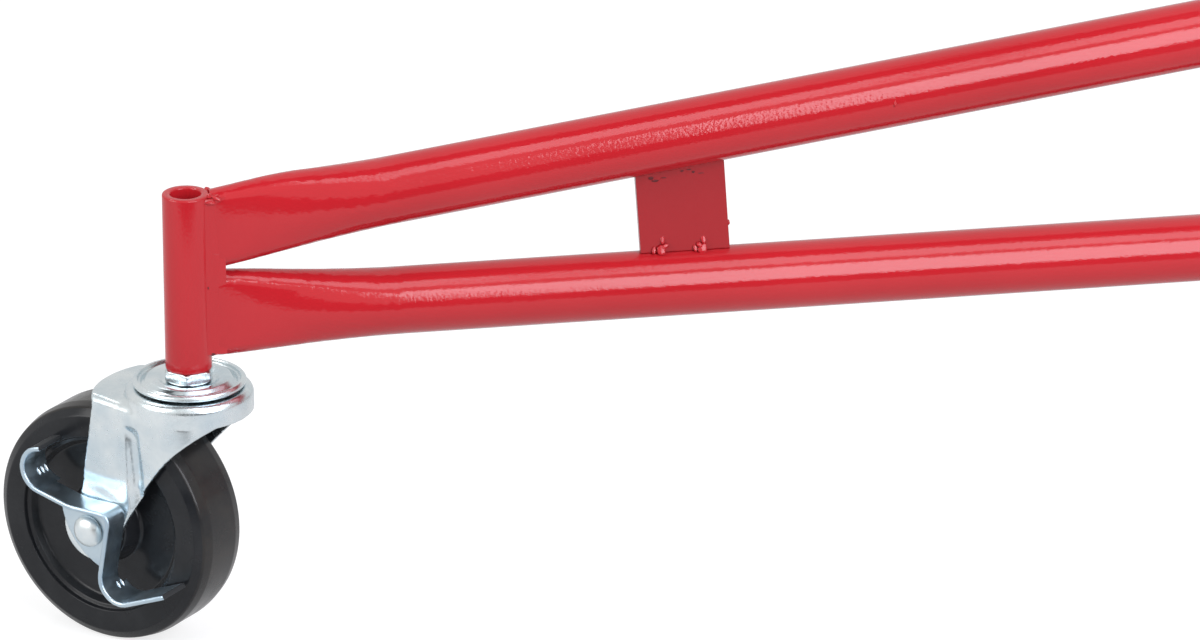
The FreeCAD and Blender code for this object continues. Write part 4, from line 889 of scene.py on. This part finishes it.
def armLines():  # where the cross arms stand on the cradle beam
    low, high = boxEnds("cradle_beam")
    lift = seamPlaces["armLift"]
    inset = seamPlaces["armInset"]
    lines = []
    for middle in (seamPlaces["armReach"], -seamPlaces["armReach"]):
        for side in (-1, 1):
            x = middle + side * (seamPlaces["armHalf"] + lift)
            lines.append([(x, low.y + inset, high.z + lift), (x, high.y - inset, high.z + lift)])
    return lines


def barrelLines():  # up the hinge barrel, beside the tubes' inner ends
    x = seamPlaces["barrelReach"]
    lines = []
    for y in (-seamPlaces["barrelHalf"], seamPlaces["barrelHalf"]):
        lines += [[(x, y, low), (x, y, high)] for low, high in seamPlaces["barrelSpans"]]
    return lines


lumpFaces = addBeads("socketBead", bodyOf["mast_socket"], [socketLine()], Matrix.Identity(4))
lumpFaces += addBeads("armBeads", bodyOf["cradle_beam"], armLines(), Matrix.Identity(4))
for leg in layout["legAngles"]:
    lumpFaces += addBeads(leg + "BarrelBeads", legBodies[leg], barrelLines(), legPlace(leg))

# ribs round the hand wheel's grip
gripLook = {"count": 9, "start": 0.020, "step": 0.0058, "sink": 0.0012, "width": 0.0011}


def gripRibs():
    look = gripLook
    low, high = boxEnds("hand_wheel_grip")
    middle = (low + high) / 2
    values = {
        "Count": look["count"], "Start": (middle.x, low.y + look["start"], middle.z),
        "Step": (0, look["step"], 0), "Turn": (math.pi / 2, 0, 0),
        "Radius": (high.x - low.x) / 2 - look["sink"], "Width": look["width"],
        "Finish": finishes["black_plastic"],
    }
    made = grow(rings, bpy.data.meshes.new("gripRibs"), values)
    addPiece("gripRibs", made, finishes["black_plastic"], bodyOf["hand_wheel_grip"], "black_plastic")


gripRibs()
print("beads:", lumpFaces, "faces")

# plain nodes take a smooth skin
for node in sorted(nodes):
    if node not in specialNodes:
        skin(node)
print("skins done")

# stage and light
stageLook = {
    "floorRadius": 7.0, "floorGlow": 0.745, "floorDrop": 0.30, "paleTone": 0.38, "bounceTone": 0.55,
    "skyGlow": 1.0, "skyDrop": 0.2, "fill": (0.95, 0.97, 1.0), "fillGlow": 0.42,
}


def grey(tone):
    return (tone, tone, tone, 1)


def seenMix(tree, hidden, shown, output):  # one shader for the camera and reflections, another for the rest
    rays = tree.nodes.new("ShaderNodeLightPath")
    seen = tree.nodes.new("ShaderNodeMath")
    seen.operation = "MAXIMUM"
    tree.links.new(rays.outputs["Is Camera Ray"], seen.inputs[0])
    tree.links.new(rays.outputs["Is Glossy Ray"], seen.inputs[1])
    mix = tree.nodes.new("ShaderNodeMixShader")
    tree.links.new(seen.outputs[0], mix.inputs[0])
    tree.links.new(hidden, mix.inputs[1])
    tree.links.new(shown, mix.inputs[2])
    tree.links.new(mix.outputs[0], tree.nodes[output].inputs["Surface"])


def dimInGloss(tree, shader, glow, drop):  # a glow that reflections see dimmer
    rays = tree.nodes.new("ShaderNodeLightPath")
    dimmed = tree.nodes.new("ShaderNodeMath")
    dimmed.operation = "MULTIPLY_ADD"
    dimmed.inputs[1].default_value = -drop
    dimmed.inputs[2].default_value = glow
    tree.links.new(rays.outputs["Is Glossy Ray"], dimmed.inputs[0])
    tree.links.new(dimmed.outputs[0], shader.inputs["Strength"])


def paleFloor():
    look = stageLook
    bm = bmesh.new()
    bmesh.ops.create_circle(bm, cap_ends=True, segments=96, radius=look["floorRadius"])
    floor = looseObject("floor", meshOf(bm, "floor"))
    finish = bpy.data.materials.new("paleFloor")
    finish.use_nodes = True
    tree = finish.node_tree
    tree.nodes.remove(tree.nodes["Principled BSDF"])
    glow = tree.nodes.new("ShaderNodeEmission")
    dimInGloss(tree, glow, look["floorGlow"], look["floorDrop"])
    pale = tree.nodes.new("ShaderNodeBsdfDiffuse")
    pale.inputs["Color"].default_value = grey(look["paleTone"])
    both = tree.nodes.new("ShaderNodeAddShader")
    tree.links.new(glow.outputs[0], both.inputs[0])
    tree.links.new(pale.outputs[0], both.inputs[1])
    bounce = tree.nodes.new("ShaderNodeBsdfDiffuse")
    bounce.inputs["Color"].default_value = grey(look["bounceTone"])
    seenMix(tree, bounce.outputs[0], both.outputs[0], "Material Output")
    floor.data.materials.append(finish)


def whiteWorld():
    look = stageLook
    world = bpy.data.worlds.new("whiteStudio")
    bpy.context.scene.world = world
    world.use_nodes = True
    tree = world.node_tree
    fill = tree.nodes["Background"]
    fill.inputs["Color"].default_value = (*look["fill"], 1)
    fill.inputs["Strength"].default_value = look["fillGlow"]
    white = tree.nodes.new("ShaderNodeBackground")
    white.inputs["Color"].default_value = grey(1)
    dimInGloss(tree, white, look["skyGlow"], look["skyDrop"])
    seenMix(tree, fill.outputs[0], white.outputs[0], "World Output")


# dark studio cards, as corners and tone
flags = {
    "ceilingFlag": ([(-4, -0.27, 2.7), (3, -0.27, 2.7), (3, 0.75, 2.7), (-4, 0.75, 2.7)], 0.03),
    "floorFlag": ([(-1.6, -3.6, 0.004), (0.9, -3.6, 0.004), (0.9, -0.64, 0.004), (-1.6, -0.64, 0.004)], 0.03),
    "creaseFlag": (
        [(-0.72, -0.155, 0.003), (-0.66, -0.155, 0.003), (-0.66, -0.115, 0.003), (-0.72, -0.115, 0.003)],
        0.06,
    ),
    "lowFlag": ([(-2.6, -3.6, 0.0), (2.0, -3.6, 0.0), (2.0, -3.6, 0.8), (-2.6, -3.6, 0.8)], 0.03),
}


def flag(name, corners, tone):  # a card that only reflections see
    mesh = bpy.data.meshes.new(name)
    mesh.from_pydata(corners, [], [tuple(range(len(corners)))])
    card = looseObject(name, mesh)
    finish = bpy.data.materials.new(name)
    finish.use_nodes = True
    shader = finish.node_tree.nodes["Principled BSDF"]
    shader.inputs["Base Color"].default_value = grey(tone)
    shader.inputs["Roughness"].default_value = 1.0
    shader.inputs["Specular IOR Level"].default_value = 0.0
    mesh.materials.append(finish)
    card.visible_camera = False
    card.visible_diffuse = False
    card.visible_shadow = False
    card.visible_transmission = False


# glow is a box's own brightness
coolWhite = (0.95, 0.97, 1.05)
plainWhite = (1, 1, 1)
softboxes = {
    "keyBox": {
        "place": (0.39, -1.74, 1.13), "aim": (-0.42, 0, 0.13), "size": (1.4, 1.50), "glow": 5.7,
        "tint": coolWhite,
    },
    "topBox": {
        "place": (0.50, -0.66, 2.05), "aim": (0.50, 0, 0.15), "size": (2.4, 0.84), "glow": 2.6,
        "tint": coolWhite,
    },
    "sideBox": {
        "place": (-2.1, -0.45, 1.0), "aim": (-0.6, 0, 0.15), "size": (1.2, 1.2), "glow": 4.2,
        "tint": plainWhite,
    },
    "backBox": {
        "place": (-1.6, 1.2, 2.5), "aim": (-0.66, 0, 0.05), "size": (0.4, 0.4), "glow": 13.0,
        "tint": plainWhite,
    },
}


def softbox(name, look):
    wide, tall = look["size"]
    lamp = bpy.data.lights.new(name, "AREA")
    lamp.shape = "RECTANGLE"
    lamp.size = wide
    lamp.size_y = tall
    lamp.energy = look["glow"] * math.pi * wide * tall
    lamp.color = look["tint"]
    box = bpy.data.objects.new(name, lamp)
    box.location = look["place"]
    box.rotation_mode = "QUATERNION"
    box.rotation_quaternion = (Vector(look["aim"]) - Vector(look["place"])).to_track_quat("-Z", "Y")
    box.visible_camera = False
    bpy.context.scene.collection.objects.link(box)


paleFloor()
whiteWorld()
for name, look in softboxes.items():
    softbox(name, look)
for name, (corners, tone) in flags.items():
    flag(name, corners, tone)
print("stage: boxes", len(softboxes), "flags", len(flags))

# camera, from a fit to the photograph's edges
shot = {
    "aim": (-0.4749, 0.0, 0.1283), "azimuth": -10.24, "elevation": 21.5, "distance": 3.2,
    "lens": 241.1, "sensor": 36,
}


def placeCamera():
    lens = bpy.data.cameras.new("camera")
    lens.sensor_width = shot["sensor"]
    lens.lens = shot["lens"]
    eye = bpy.data.objects.new("camera", lens)
    turn = math.radians(shot["azimuth"])
    rise = math.radians(shot["elevation"])
    level = math.cos(rise)
    back = Vector((level * math.sin(turn), -level * math.cos(turn), math.sin(rise)))
    eye.location = Vector(shot["aim"]) + back * shot["distance"]
    eye.rotation_mode = "QUATERNION"
    eye.rotation_quaternion = (-back).to_track_quat("-Z", "Y")
    bpy.context.scene.collection.objects.link(eye)
    bpy.context.scene.camera = eye


placeCamera()
bpy.context.scene.view_settings.view_transform = "Standard"
print("scene ready")
